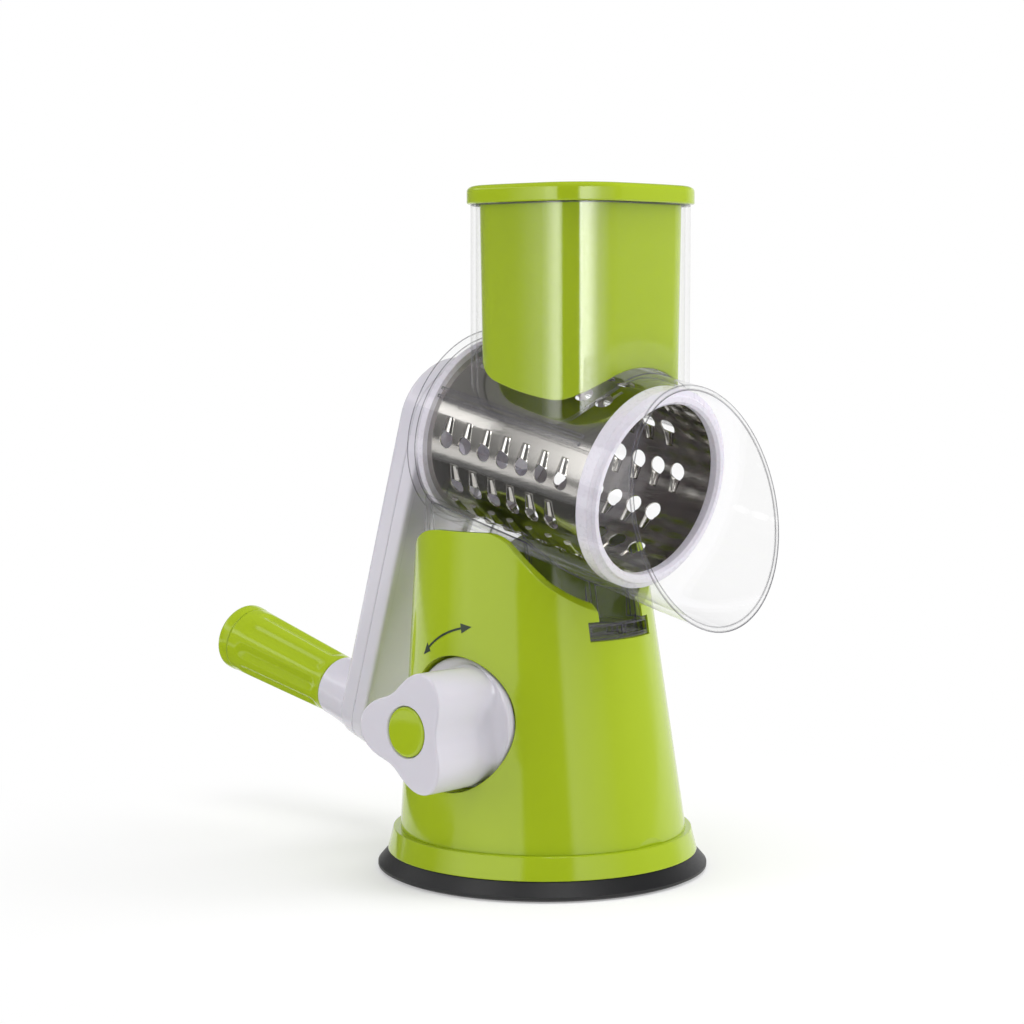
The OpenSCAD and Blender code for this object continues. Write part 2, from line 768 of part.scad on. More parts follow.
// Rear half of the arm, with the conical collar that the grip turns against
module crank_rear_shell() {
    bore = spindle_r + run_gap;
    color("#f1f0f5") difference() {
        union() {
            on_crank() difference() {
                translate([0, 0, -rear_shell_t]) linear_extrude(rear_shell_t) arm_outline();
                translate([0, 0, arm_wall - rear_shell_t]) linear_extrude(rear_shell_t)
                    arm_outline(arm_wall);
            }
            on_crank() for (y = arm_screw_places) translate([0, y, -rear_shell_t])
                cylinder(h = rear_shell_t, r = arm_boss_r);
            on_grip(rear_shell_t - arm_wall)
                cylinder(h = collar_l + arm_wall, r1 = collar_root_r, r2 = collar_tip_r);
            on_grip(spindle_head_t)
                cylinder(h = rear_shell_t - spindle_head_t - arm_wall / 2, r = spindle_head_r);
        }
        on_grip(-cut) cylinder(h = rear_shell_t + collar_l + 2 * cut, r = bore);
        on_crank() for (y = arm_screw_places) translate([0, y, -rear_shell_t - cut]) {
            cylinder(h = rear_shell_t + 2 * cut, r = arm_screw_r + run_gap);
            cylinder(h = cut + 2 * arm_screw_head_t, r = arm_screw_head_r + run_gap);
        }
    }
}

module crank_screws() {
    color("#b9bcc0") on_crank() for (y = arm_screw_places)
        translate([0, y, -rear_shell_t + arm_screw_head_t]) {
        cylinder(h = arm_screw_head_t, r = arm_screw_head_r);
        cylinder(h = rear_shell_t, r = arm_screw_r);
    }
}

module grip_spindle() {
    color("#c3c6ca") difference() {
        union() {
            on_grip(0) cylinder(h = spindle_head_t, r = spindle_head_r);
            on_grip(0) cylinder(h = shoulder_z + face_gap, r = spindle_r);
        }
        on_grip(shoulder_z - grip_screw_l) cylinder(h = 2 * grip_screw_l, r = grip_screw_r + run_gap);
    }
}

module grip_washer() {
    color("#c3c6ca") on_grip(shoulder_z + face_gap) difference() {
        cylinder(h = washer_t, r = washer_r);
        translate([0, 0, -cut]) cylinder(h = washer_t + 2 * cut, r = grip_screw_r + run_gap);
    }
}

module grip_screw() {
    color("#b9bcc0") on_grip(shoulder_z + face_gap + washer_t) {
        cylinder(h = grip_screw_head_t - face_gap, r = grip_screw_head_r);
        translate([0, 0, -grip_screw_l + washer_t]) cylinder(h = grip_screw_l, r = grip_screw_r);
    }
}

// Tapered grip with long flutes
module grip() {
    body_l = grip_l - cap_l;
    rise = (grip_tip_r - grip_foot_r) / body_l;
    color("#a4d025") on_grip(grip_z) difference() {
        rotate_extrude() polygon([
            [spindle_r + run_gap, 0], [grip_foot_r - grip_edge, 0], [grip_foot_r, grip_edge],
                [grip_tip_r, body_l],
            [washer_r + seat_gap, body_l], [washer_r + seat_gap, shoulder_z - grip_z],
            [spindle_r + run_gap, shoulder_z - grip_z]]);
        for (i = [0:flutes - 1]) rotate([0, 0, 360 / flutes * (i + 0.5)])
            translate([grip_foot_r + flute_r - flute_depth, 0, 0]) rotate([0, atan(rise), 0]) {
                translate([0, 0, flute_start + flute_r]) sphere(flute_r, $fn = 32);
                translate([0, 0, flute_start + flute_r])
                    cylinder(h = body_l - flute_end, r = flute_r, $fn = 32);
                translate([0, 0, flute_start + flute_r + body_l - flute_end]) sphere(flute_r, $fn = 32);
            }
    }
}

// Domed end of the grip
module grip_cap() {
    dome_z = dome_share * cap_l;
    dome_r = grip_tip_r + cap_over;
    color("#a4d025") on_grip(grip_end - cap_l) difference() {
        union() {
            rotate_extrude() polygon(concat(
                [[0, 0], [grip_tip_r, 0], [dome_r, dome_z / 2]],
                [for (a = [0:10:80]) [dome_r * cos(a), dome_z + (cap_l - dome_z) * sin(a)]],
                [[0, cap_l]]));
            translate([0, 0, -cap_spigot_l])
                cylinder(h = cap_spigot_l + cut, r = washer_r + seat_gap - run_gap);
        }
        translate([0, 0, -cap_spigot_l - cut])
            cylinder(h = cap_spigot_l + cut, r = washer_r + seat_gap - cap_spigot_wall);
    }
}

// Tapered prism from the pusher's foot to its top
module pusher_prism(inset, low, high) {
    h = lid_z - axis_z;
    k = 1 - pusher_draft / pusher_top_w;
    intersection() {
        translate([0, -chute_y, lid_z]) mirror([0, 0, 1]) linear_extrude(h, scale = k)
            round_rect(pusher_top_w - inset, pusher_top_l - inset,
                chute_corner - clear_wall - pusher_gap - inset,
                $fn = 64);
        translate([-chute_w, -2 * chute_w, low]) cube([2 * chute_w, 3 * chute_w, high - low]);
    }
}

// Hollow pusher with a foot that is curved over the drum
module pusher_body() {
    color("#a4d025") difference() {
        pusher_prism(0, axis_z, lid_z);
        on_axis(-chute_w) cylinder(h = 3 * chute_w, r = pusher_foot_r);
        difference() {
            pusher_prism(pusher_wall, axis_z, lid_z + cut);
            on_axis(-chute_w) cylinder(h = 3 * chute_w, r = pusher_foot_r + pusher_floor_t);
        }
    }
}

// Lid with a soft upper edge and a spigot that plugs into the pusher
module pusher_lid() {
    half_w = chute_w / 2 + lid_over;
    half_l = chute_l / 2 + lid_over;
    r = chute_corner + lid_over;
    plug = pusher_wall + seat_gap / 4;
    color("#a4d025") {
        translate([0, -chute_y, lid_z]) linear_extrude(lid_h - lid_crown) round_rect(half_w, half_l, r);
        translate([0, -chute_y, total_h - lid_crown])
            linear_extrude(lid_crown / 2, scale = 1 - lid_crown / half_w / 4)
            round_rect(half_w, half_l, r, $fn = 64);
        translate([0, -chute_y, total_h - lid_crown / 2])
            linear_extrude(lid_crown / 2, scale = 1 - lid_crown / half_w)
                round_rect(half_w - lid_crown / 4, half_l - lid_crown / 4, r - lid_crown / 4, $fn = 64);
        difference() {
            pusher_prism(plug, lid_z - lid_spigot_h, lid_z);
            pusher_prism(plug + pusher_wall, lid_z - lid_spigot_h - cut, lid_z);
        }
    }
}

suction_cup();
cup_plate();
lift_stem();
base_ring();
base_body();
base_screws();
cam_shaft();
lock_knob();
knob_cap();
knob_screw();
feed_housing();
drum_blade();
drum_front_ring();
drum_rear_hub();
drive_shaft();
crank_front_shell();
crank_rear_shell();
crank_screws();
grip_spindle();
grip_washer();
grip_screw();
grip();
grip_cap();
pusher_body();
pusher_lid();
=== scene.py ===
"""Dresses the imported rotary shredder: rounded mouldings, clear plastic, steel drum, studio and camera.

Sizes are in millimetres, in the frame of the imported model, and become metres when a mesh is made.
"""

import logging
import math
from dataclasses import dataclass, field
from enum import Enum
from typing import Callable, Iterable, Sequence

import bmesh
import bpy
from mathutils import Matrix, Vector


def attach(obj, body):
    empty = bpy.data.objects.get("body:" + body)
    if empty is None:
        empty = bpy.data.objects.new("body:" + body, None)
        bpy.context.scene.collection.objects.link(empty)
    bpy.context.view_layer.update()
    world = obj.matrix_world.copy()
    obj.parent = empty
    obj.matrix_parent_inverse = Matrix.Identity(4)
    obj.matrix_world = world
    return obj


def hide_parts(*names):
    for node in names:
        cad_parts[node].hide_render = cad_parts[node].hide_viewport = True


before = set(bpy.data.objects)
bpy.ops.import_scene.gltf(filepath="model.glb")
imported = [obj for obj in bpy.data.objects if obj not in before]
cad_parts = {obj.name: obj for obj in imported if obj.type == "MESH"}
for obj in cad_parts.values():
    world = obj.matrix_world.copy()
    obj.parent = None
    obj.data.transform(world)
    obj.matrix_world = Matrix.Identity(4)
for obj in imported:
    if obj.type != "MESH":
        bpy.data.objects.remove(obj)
LOG = logging.getLogger("shredder")
MM = 0.001


# Frames of the object


@dataclass(frozen=True)
class Layout:
    """The main places of the object, in millimetres and degrees."""

    total_h: float = 240.0
    axis_z: float = 148.5
    drum_tilt: float = 12.5
    knob_z: float = 56.0
    pocket_x: float = 37.2
    crank_s: float = -45.0
    arm_lean: float = 7.0
    crank_l: float = 118.0
    grip_lean: float = 1.0
    rear_wall_s: float = -29.6
    chute_y: float = 17.8
    chute_w: float = 66.5
    chute_l: float = 63.5
    chute_corner: float = 19.0
    lid_h: float = 6.5

    @property
    def lid_z(self) -> float:
        """Height of the lid's underside."""
        return self.total_h - self.lid_h

    def on_axis(self, s: float = 0.0) -> Matrix:
        """Frame on the drum axis, Z toward the mouth, Y up, s along it."""
        turn = Matrix.Rotation(math.radians(90 + self.drum_tilt), 4, "X")
        return Matrix.Translation((0, 0, self.axis_z)) @ turn @ Matrix.Translation((0, 0, s))

    def on_crank(self) -> Matrix:
        """Frame on the crank's parting face, -Y down the hanging arm."""
        return self.on_axis(self.crank_s) @ Matrix.Rotation(math.radians(self.arm_lean), 4, "X")

    def on_grip(self, z: float = 0.0) -> Matrix:
        """Frame on the grip's axis, Z away from the arm."""
        turn = Matrix.Rotation(math.radians(180 + self.grip_lean - self.arm_lean), 4, "X")
        foot = self.on_crank() @ Matrix.Translation((0, -self.crank_l, 0))
        return foot @ turn @ Matrix.Translation((0, 0, z))

    def on_knob(self, x: float = 0.0) -> Matrix:
        """Frame on the knob's axis, Z outward from the body, X up."""
        return Matrix.Translation((-x, 0, self.knob_z)) @ Matrix.Rotation(math.radians(-90), 4, "Y")


PLACES = Layout()


class Body(Enum):
    """The bodies that finished pieces ride on."""

    BASE = "base"
    LOCK = "lock"
    CRANK = "crank"
    GRIP = "grip"
    PUSHER = "pusher"


class Slot(Enum):
    """Names of the record's material slots for the finished pieces; nothing in this script uses them."""

    WHITE = "white_abs"
    GREEN = "green_abs"
    SCREWS = "screw_steel"


# A height, or what gives one at each (x, y)
Height = Callable[[float, float], float] | float


# Meshes


@dataclass
class Shape:
    """A mesh in the making, in millimetres."""

    points: list[Vector] = field(default_factory=list)
    faces: list[tuple[int, ...]] = field(default_factory=list)

    def moved(self, matrix: Matrix) -> "Shape":
        """The same faces, with the points moved by matrix."""
        return Shape([matrix @ p for p in self.points], list(self.faces))

    def joined(self, *others: "Shape") -> "Shape":
        """This shape and the others as one list of shells."""
        points, faces = list(self.points), list(self.faces)
        for other in others:
            start = len(points)
            points += other.points
            faces += [tuple(i + start for i in f) for f in other.faces]
        return Shape(points, faces)

    def mesh(self, name: str) -> bpy.types.Mesh:
        """A Blender mesh in metres, its doubles merged and its normals outward."""
        made = bpy.data.meshes.new(name)
        made.from_pydata([tuple(p * MM) for p in self.points], [], self.faces)
        bm = bmesh.new()
        bm.from_mesh(made)
        bmesh.ops.remove_doubles(bm, verts=bm.verts, dist=2e-6)
        bmesh.ops.recalc_face_normals(bm, faces=bm.faces)
        bm.to_mesh(made)
        bm.free()
        return made


def ring(r: float, z: float, steps: int) -> list[Vector]:
    """A circle of points about Z."""
    turn = 2 * math.pi / steps
    return [Vector((r * math.cos(i * turn), r * math.sin(i * turn), z)) for i in range(steps)]


def loft(rings: Sequence[Sequence[Vector]]) -> Shape:
    """Joins rings of points with faces and closes both ends; a ring of one point is a pole.

    Args:
        rings: Rings in order, all with the same count apart from poles.

    Returns:
        The lofted shape.
    """
    points: list[Vector] = []
    faces: list[tuple[int, ...]] = []
    starts = []
    for one in rings:
        starts.append(len(points))
        points += [Vector(p) for p in one]
    for a in range(len(rings) - 1):
        n, m = len(rings[a]), len(rings[a + 1])
        s, t = starts[a], starts[a + 1]
        for i in range(max(n, m)):
            j = (i + 1) % max(n, m)
            if n == 1:
                faces.append((s, t + i, t + j))
            elif m == 1:
                faces.append((s + j, s + i, t))
            else:
                faces.append((s + j, s + i, t + i, t + j))
    if len(rings[0]) > 1:
        faces.append(tuple(range(starts[0], starts[0] + len(rings[0]))))
    if len(rings[-1]) > 1:
        faces.append(tuple(reversed(range(starts[-1], starts[-1] + len(rings[-1])))))
    return Shape(points, faces)


def revolve(profile: Iterable[tuple[float, float]], steps: int = 128) -> Shape:
    """Turns (radius, height) pairs about Z; a radius of zero is a pole."""
    return loft([ring(r, z, steps) if r > 1e-6 else [Vector((0, 0, z))] for r, z in profile])


def corner(r0: float, z0: float, r1: float, z1: float, steps: int = 6) -> list[tuple[float, float]]:
    """Points of a quarter ellipse between two (radius, height) pairs, which leaves the first along the height.

    Args:
        r0: Radius at the start.
        z0: Height at the start.
        r1: Radius at the end.
        z1: Height at the end.
        steps: Number of steps.

    Returns:
        The points, both ends among them.
    """
    turns = [math.pi / 2 * i / steps for i in range(steps + 1)]
    return [(r0 + (r1 - r0) * (1 - math.cos(a)), z0 + (z1 - z0) * math.sin(a)) for a in turns]


def linked(name: str, data: bpy.types.ID) -> bpy.types.Object:
    """A new object with the given data, in the scene."""
    made = bpy.data.objects.new(name, data)
    bpy.context.scene.collection.objects.link(made)
    return made


def evaluated(source: bpy.types.Object) -> Shape:
    """The shape that an object's modifiers give it."""
    bpy.context.view_layer.update()
    mesh = bpy.data.meshes.new_from_object(source.evaluated_get(bpy.context.evaluated_depsgraph_get()))
    found = Shape([v.co / MM for v in mesh.vertices], [tuple(p.vertices) for p in mesh.polygons])
    bpy.data.meshes.remove(mesh)
    return found


def discard(*helpers: bpy.types.Object) -> None:
    """Removes helper objects and their meshes."""
    for one in helpers:
        mesh = one.data
        bpy.data.objects.remove(one)
        bpy.data.meshes.remove(mesh)


def carved(base: Shape, tool: Shape) -> Shape:
    """Base with tool cut out of it, by the exact solver."""
    a, b = linked("carve_base", base.mesh("carve_base")), linked("carve_tool", tool.mesh("carve_tool"))
    step = a.modifiers.new("carve", "BOOLEAN")
    step.operation, step.object, step.solver = "DIFFERENCE", b, "EXACT"
    found = evaluated(a)
    discard(a, b)
    return found


def piece(name: str, shape: Shape, look: bpy.types.Material, body: Body,
          replaces: Sequence[str] = (), sharp: float = 32.0) -> bpy.types.Object:
    """Makes a finished piece that rides on a body.

    Args:
        name: Name of the piece.
        shape: Its shape in the row frame, in millimetres.
        look: Its material.
        body: The body that it rides on.
        replaces: CAD nodes that it stands for.
        sharp: Edges over this angle stay sharp, in degrees.

    Returns:
        The object.
    """
    mesh = shape.mesh(name)
    mesh.shade_smooth()
    mesh.set_sharp_from_angle(angle=math.radians(sharp))
    mesh.materials.append(look)
    made = linked(name, mesh)
    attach(made, body.value)
    if replaces:
        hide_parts(*replaces)
    LOG.info("%s: %d faces on %s", name, len(mesh.polygons), body.value)
    return made


def dress(node_name: str, look: bpy.types.Material) -> None:
    """Gives a carried-over CAD node its material."""
    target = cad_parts[node_name]
    if not target.material_slots:
        target.data.materials.append(look)
    for one in target.material_slots:
        one.material = look
    LOG.info("%s keeps its packed shape, in %s", node_name, look.name)


# Materials


def linear(colour: str) -> tuple[float, float, float, float]:
    """An sRGB hex colour as linear red, green, blue and alpha."""
    parts = [int(colour[i:i + 2], 16) / 255 for i in (1, 3, 5)]
    red, green, blue = (c / 12.92 if c <= 0.04045 else ((c + 0.055) / 1.055) ** 2.4 for c in parts)
    return red, green, blue, 1.0


def add_node(tree: bpy.types.NodeTree, kind: str, settings: dict | None = None, values: dict | None = None,
             links: dict | None = None) -> bpy.types.Node:
    """Adds one node.

    Args:
        tree: The tree that it goes into.
        kind: The node's type.
        settings: Properties to set on the node.
        values: Values for its input sockets.
        links: Sockets to link into its input sockets.

    Returns:
        The node.
    """
    made = tree.nodes.new(kind)
    for key, value in (settings or {}).items():
        setattr(made, key, value)
    for key, value in (values or {}).items():
        made.inputs[key].default_value = value
    for key, socket in (links or {}).items():
        tree.links.new(socket, made.inputs[key])
    return made


def new_material(name: str) -> tuple[bpy.types.Material, bpy.types.NodeTree]:
    """An empty material with nodes, and its tree."""
    made = bpy.data.materials.new(name)
    made.use_nodes = True
    made.node_tree.nodes.clear()
    return made, made.node_tree


@dataclass(frozen=True)
class MouldedPlastic:
    """Glossy or satin injection moulding: one colour with a faint drift, a soft skin and round edges.

    The drift is the flow of the melt, flow_mm long. The skin is the fine waviness of a polished tool, drawn
    skin_mm long so that it shows. Edges are rounded by edge_mm.
    """

    name: str
    colour: str
    drift: str
    roughness: tuple[float, float]
    ior: float = 1.53
    flow_mm: float = 70.0
    skin_mm: float = 1.4
    skin: float = 0.012
    edge_mm: float = 0.5
    glow: float = 0.0

    def material(self) -> bpy.types.Material:
        """The node material of this moulding."""
        made, tree = new_material(self.name)
        place = add_node(tree, "ShaderNodeTexCoord").outputs["Object"]
        flow = add_node(tree, "ShaderNodeTexNoise", values={"Scale": 1 / (self.flow_mm * MM), "Detail": 2.0},
                        links={"Vector": place}).outputs["Fac"]
        fine = add_node(tree, "ShaderNodeTexNoise", values={"Scale": 1 / (self.skin_mm * MM), "Detail": 2.0},
                        links={"Vector": place}).outputs["Fac"]
        tint = add_node(tree, "ShaderNodeMix", {"data_type": "RGBA"},
                        {6: linear(self.colour), 7: linear(self.drift)}, {"Factor": flow})
        rough = add_node(tree, "ShaderNodeMapRange",
                         values={"From Min": 0.3, "From Max": 0.7, "To Min": self.roughness[0],
                                 "To Max": self.roughness[1]}, links={"Value": fine})
        edge = add_node(tree, "ShaderNodeBevel", {"samples": 6}, {"Radius": self.edge_mm * MM})
        bump = add_node(tree, "ShaderNodeBump", values={"Strength": self.skin, "Distance": 0.0004},
                        links={"Height": fine, "Normal": edge.outputs["Normal"]})
        skin = add_node(tree, "ShaderNodeBsdfPrincipled",
                        values={"IOR": self.ior, "Subsurface Weight": self.glow, "Subsurface Scale": 0.002},
                        links={"Base Color": tint.outputs[2], "Roughness": rough.outputs["Result"],
                               "Normal": bump.outputs["Normal"]})
        add_node(tree, "ShaderNodeOutputMaterial", links={"Surface": skin.outputs["BSDF"]})
        return made


@dataclass(frozen=True)
class ClearPlastic:
    """Polished clear styrene acrylonitrile in thin walls: water-clear head on, lilac-grey along the walls.

    The walls are thin, so what lies behind them shows in its place. Each skin passes most of the light,
    turns milky where the eye runs along it, and mirrors the studio as plastic does. Edges get painted shade:
    dark lines of edge_mm that stand in for the refraction along a clear edge. The mould's waviness is wave_mm
    long.
    """

    name: str
    through: str = "#FFFFFF"
    milky: str = "#D4D2DC"
    rim: str = "#9C9AA4"
    milk: float = 0.42
    fall: float = 9.0
    # Colour of the painted shade along the edges, standing in for refraction at a clear edge
    edge: str = "#504E56"
    edge_mm: float = 1.1
    painted_edge_share: float = 0.95
    mirror: float = 0.03
    mirror_edge: float = 0.5
    mirror_fall: float = 5.0
    ior: float = 1.5
    roughness: tuple[float, float] = (0.02, 0.05)
    edge_roughness: float = 0.12
    wave_mm: float = 9.0
    wave: float = 0.03

    def material(self) -> bpy.types.Material:
        """The node material of the clear moulding."""
        made, tree = new_material(self.name)
        place = add_node(tree, "ShaderNodeTexCoord").outputs["Object"]
        wave = add_node(tree, "ShaderNodeTexNoise", values={"Scale": 1 / (self.wave_mm * MM), "Detail": 1.0},
                        links={"Vector": place}).outputs["Fac"]
        bump = add_node(tree, "ShaderNodeBump", values={"Strength": self.wave, "Distance": 0.0005},
                        links={"Height": wave})
        rough = add_node(tree, "ShaderNodeMapRange",
                         values={"To Min": self.roughness[0], "To Max": self.roughness[1]},
                         links={"Value": wave})
        along = add_node(tree, "ShaderNodeLayerWeight", values={"Blend": 0.5},
                         links={"Normal": bump.outputs["Normal"]})
        tone = add_node(tree, "ShaderNodeValToRGB", links={"Fac": along.outputs["Facing"]})
        for stop, (where, colour) in zip(tone.color_ramp.elements, ((0.78, self.milky), (0.96, self.rim))):
            stop.position, stop.color = where, linear(colour)
        body = add_node(tree, "ShaderNodeBsdfPrincipled", values={"IOR": self.ior},
                        links={"Base Color": tone.outputs["Color"], "Roughness": rough.outputs["Result"],
                               "Normal": bump.outputs["Normal"]})
        clear = add_node(tree, "ShaderNodeBsdfTransparent", values={"Color": linear(self.through)})
        curve = add_node(tree, "ShaderNodeMath", {"operation": "POWER"}, {1: self.fall},
                         {0: along.outputs["Facing"]})
        share = add_node(tree, "ShaderNodeMath", {"operation": "MULTIPLY"}, {1: self.milk},
                         {0: curve.outputs[0]})
        wall = add_node(tree, "ShaderNodeMixShader",
                        links={0: share.outputs[0], 1: clear.outputs["BSDF"], 2: body.outputs["BSDF"]})
        shine = add_node(tree, "ShaderNodeBsdfAnisotropic", values={"Color": linear("#FFFFFF")},
                         links={"Roughness": rough.outputs["Result"], "Normal": bump.outputs["Normal"]})
        # Painted shade: where the bevelled normal turns from the flat one, a dark opaque skin is mixed in as a
        # line along each edge, in place of refraction
        soft = add_node(tree, "ShaderNodeBevel", {"samples": 4}, {"Radius": self.edge_mm * MM})
        flat = add_node(tree, "ShaderNodeNewGeometry")
        turn = add_node(tree, "ShaderNodeVectorMath", {"operation": "DOT_PRODUCT"},
                        links={0: soft.outputs["Normal"], 1: flat.outputs["Normal"]})
        line = add_node(tree, "ShaderNodeMapRange",
                        values={"From Min": 0.99, "From Max": 0.9, "To Min": 0.0, "To Max": self.painted_edge_share},
                        links={"Value": turn.outputs["Value"]})
        painted_edge_shade = add_node(tree, "ShaderNodeBsdfPrincipled",
                       values={"Base Color": linear(self.edge), "Roughness": self.edge_roughness})
        lined = add_node(tree, "ShaderNodeMixShader",
                         links={0: line.outputs["Result"], 1: wall.outputs["Shader"], 2: painted_edge_shade.outputs["BSDF"]})
        edge = add_node(tree, "ShaderNodeMath", {"operation": "POWER"}, {1: self.mirror_fall},
                        {0: along.outputs["Facing"]})
        mirror = add_node(tree, "ShaderNodeMapRange",
                          values={"To Min": self.mirror, "To Max": self.mirror_edge},
                          links={"Value": edge.outputs[0]})
        skin = add_node(tree, "ShaderNodeMixShader",
                        links={0: mirror.outputs[0], 1: lined.outputs["Shader"], 2: shine.outputs["BSDF"]})
        add_node(tree, "ShaderNodeOutputMaterial", links={"Surface": skin.outputs["Shader"]})
        return made


@dataclass(frozen=True)
class Steel:
    """Stainless steel: rolled sheet, drawn bar or turned screws.

    The grain is the rolling or turning mark, grain_mm wide and drawn out along the axis.
    """

    name: str
    colour: str
    roughness: tuple[float, float]
    grain_mm: float = 0.8
    stretch: float = 0.06
    grain: float = 0.05
    edge_mm: float = 0.25

    def material(self) -> bpy.types.Material:
        """The node material of the metal."""
        made, tree = new_material(self.name)
        place = add_node(tree, "ShaderNodeTexCoord").outputs["Object"]
        along = add_node(tree, "ShaderNodeMapping",
                         values={"Rotation": (math.radians(-PLACES.drum_tilt), 0, 0),
                                 "Scale": (1, self.stretch, 1)}, links={"Vector": place}).outputs["Vector"]
        lines = add_node(tree, "ShaderNodeTexNoise", values={"Scale": 1 / (self.grain_mm * MM), "Detail": 3.0},
                         links={"Vector": along}).outputs["Fac"]
        rough = add_node(tree, "ShaderNodeMapRange",
                         values={"From Min": 0.3, "From Max": 0.7, "To Min": self.roughness[0],
                                 "To Max": self.roughness[1]}, links={"Value": lines})
        edge = add_node(tree, "ShaderNodeBevel", {"samples": 4}, {"Radius": self.edge_mm * MM})
        bump = add_node(tree, "ShaderNodeBump", values={"Strength": self.grain, "Distance": 0.0002},
                        links={"Height": lines, "Normal": edge.outputs["Normal"]})
        skin = add_node(tree, "ShaderNodeBsdfPrincipled",
                        values={"Base Color": linear(self.colour), "Metallic": 1.0},
                        links={"Roughness": rough.outputs["Result"], "Normal": bump.outputs["Normal"]})
        add_node(tree, "ShaderNodeOutputMaterial", links={"Surface": skin.outputs["BSDF"]})
        return made


@dataclass(frozen=True)
class Rubber:
    """Moulded black rubber: nearly matt, with a fine pitted skin drawn pit_mm wide so that it shows."""

    name: str
    colour: str = "#0E0E10"
    dust: str = "#17171A"
    pit_mm: float = 0.9
    pits: float = 0.08
    roughness: tuple[float, float] = (0.34, 0.55)
    ior: float = 1.52

    def material(self) -> bpy.types.Material:
        """The node material of the rubber."""
        made, tree = new_material(self.name)
        place = add_node(tree, "ShaderNodeTexCoord").outputs["Object"]
        pits = add_node(tree, "ShaderNodeTexNoise", values={"Scale": 1 / (self.pit_mm * MM), "Detail": 4.0},
                        links={"Vector": place}).outputs["Fac"]
        tint = add_node(tree, "ShaderNodeMix", {"data_type": "RGBA"},
                        {6: linear(self.colour), 7: linear(self.dust)}, {"Factor": pits})
        rough = add_node(tree, "ShaderNodeMapRange",
                         values={"To Min": self.roughness[0], "To Max": self.roughness[1]},
                         links={"Value": pits})
        bump = add_node(tree, "ShaderNodeBump", values={"Strength": self.pits, "Distance": 0.0003},
                        links={"Height": pits})
        skin = add_node(tree, "ShaderNodeBsdfPrincipled", values={"IOR": self.ior},
                        links={"Base Color": tint.outputs[2], "Roughness": rough.outputs["Result"],
                               "Normal": bump.outputs["Normal"]})
        add_node(tree, "ShaderNodeOutputMaterial", links={"Surface": skin.outputs["BSDF"]})
        return made


class Finish:
    """All materials of the object, made once."""

    def __init__(self) -> None:
        """Makes the materials."""
        # Polished lime ABS: deep colour with sharp window streaks
        self.green = MouldedPlastic("lime_abs_polished", "#A5BB1C", "#9FB518", (0.07, 0.15)).material()
        # Polished white ABS, faintly lilac, as bright mouldings look beside the green
        self.white = MouldedPlastic("white_abs_polished", "#D5D2DB", "#D0CDD7", (0.12, 0.20),
                                    glow=0.04).material()
        # Acetal of the drum's rings and the stem: waxy white
        self.acetal = MouldedPlastic("white_acetal_satin", "#DFDBE6", "#D9D5E0", (0.24, 0.36), ior=1.48,
                                     glow=0.06).material()
        # Clear styrene acrylonitrile of the feed housing
        self.clear = ClearPlastic("clear_san_polished").material()
        # Rolled stainless sheet of the drum: close to a mirror, drawn out along the axis
        self.sheet = Steel("stainless_sheet_rolled", "#C0BDB8", (0.08, 0.18)).material()
        # Drawn steel bar of the drive and the grip's spindle
        self.bar = Steel("steel_bar_drawn", "#B9BCC1", (0.22, 0.36)).material()
        # Zinc-plated screws
        self.screw = Steel("screw_steel_zinc", "#B4B7BC", (0.25, 0.40), grain_mm=0.5, stretch=1.0).material()
        # Black rubber of the suction cup
        self.rubber = Rubber("black_rubber_moulded").material()
        # Dark printing ink of the turning mark: satin, slightly raised
        self.ink = MouldedPlastic("dark_pad_ink", "#20301C", "#263620", (0.35, 0.5), edge_mm=0.02).material()


# Sub-assemblies


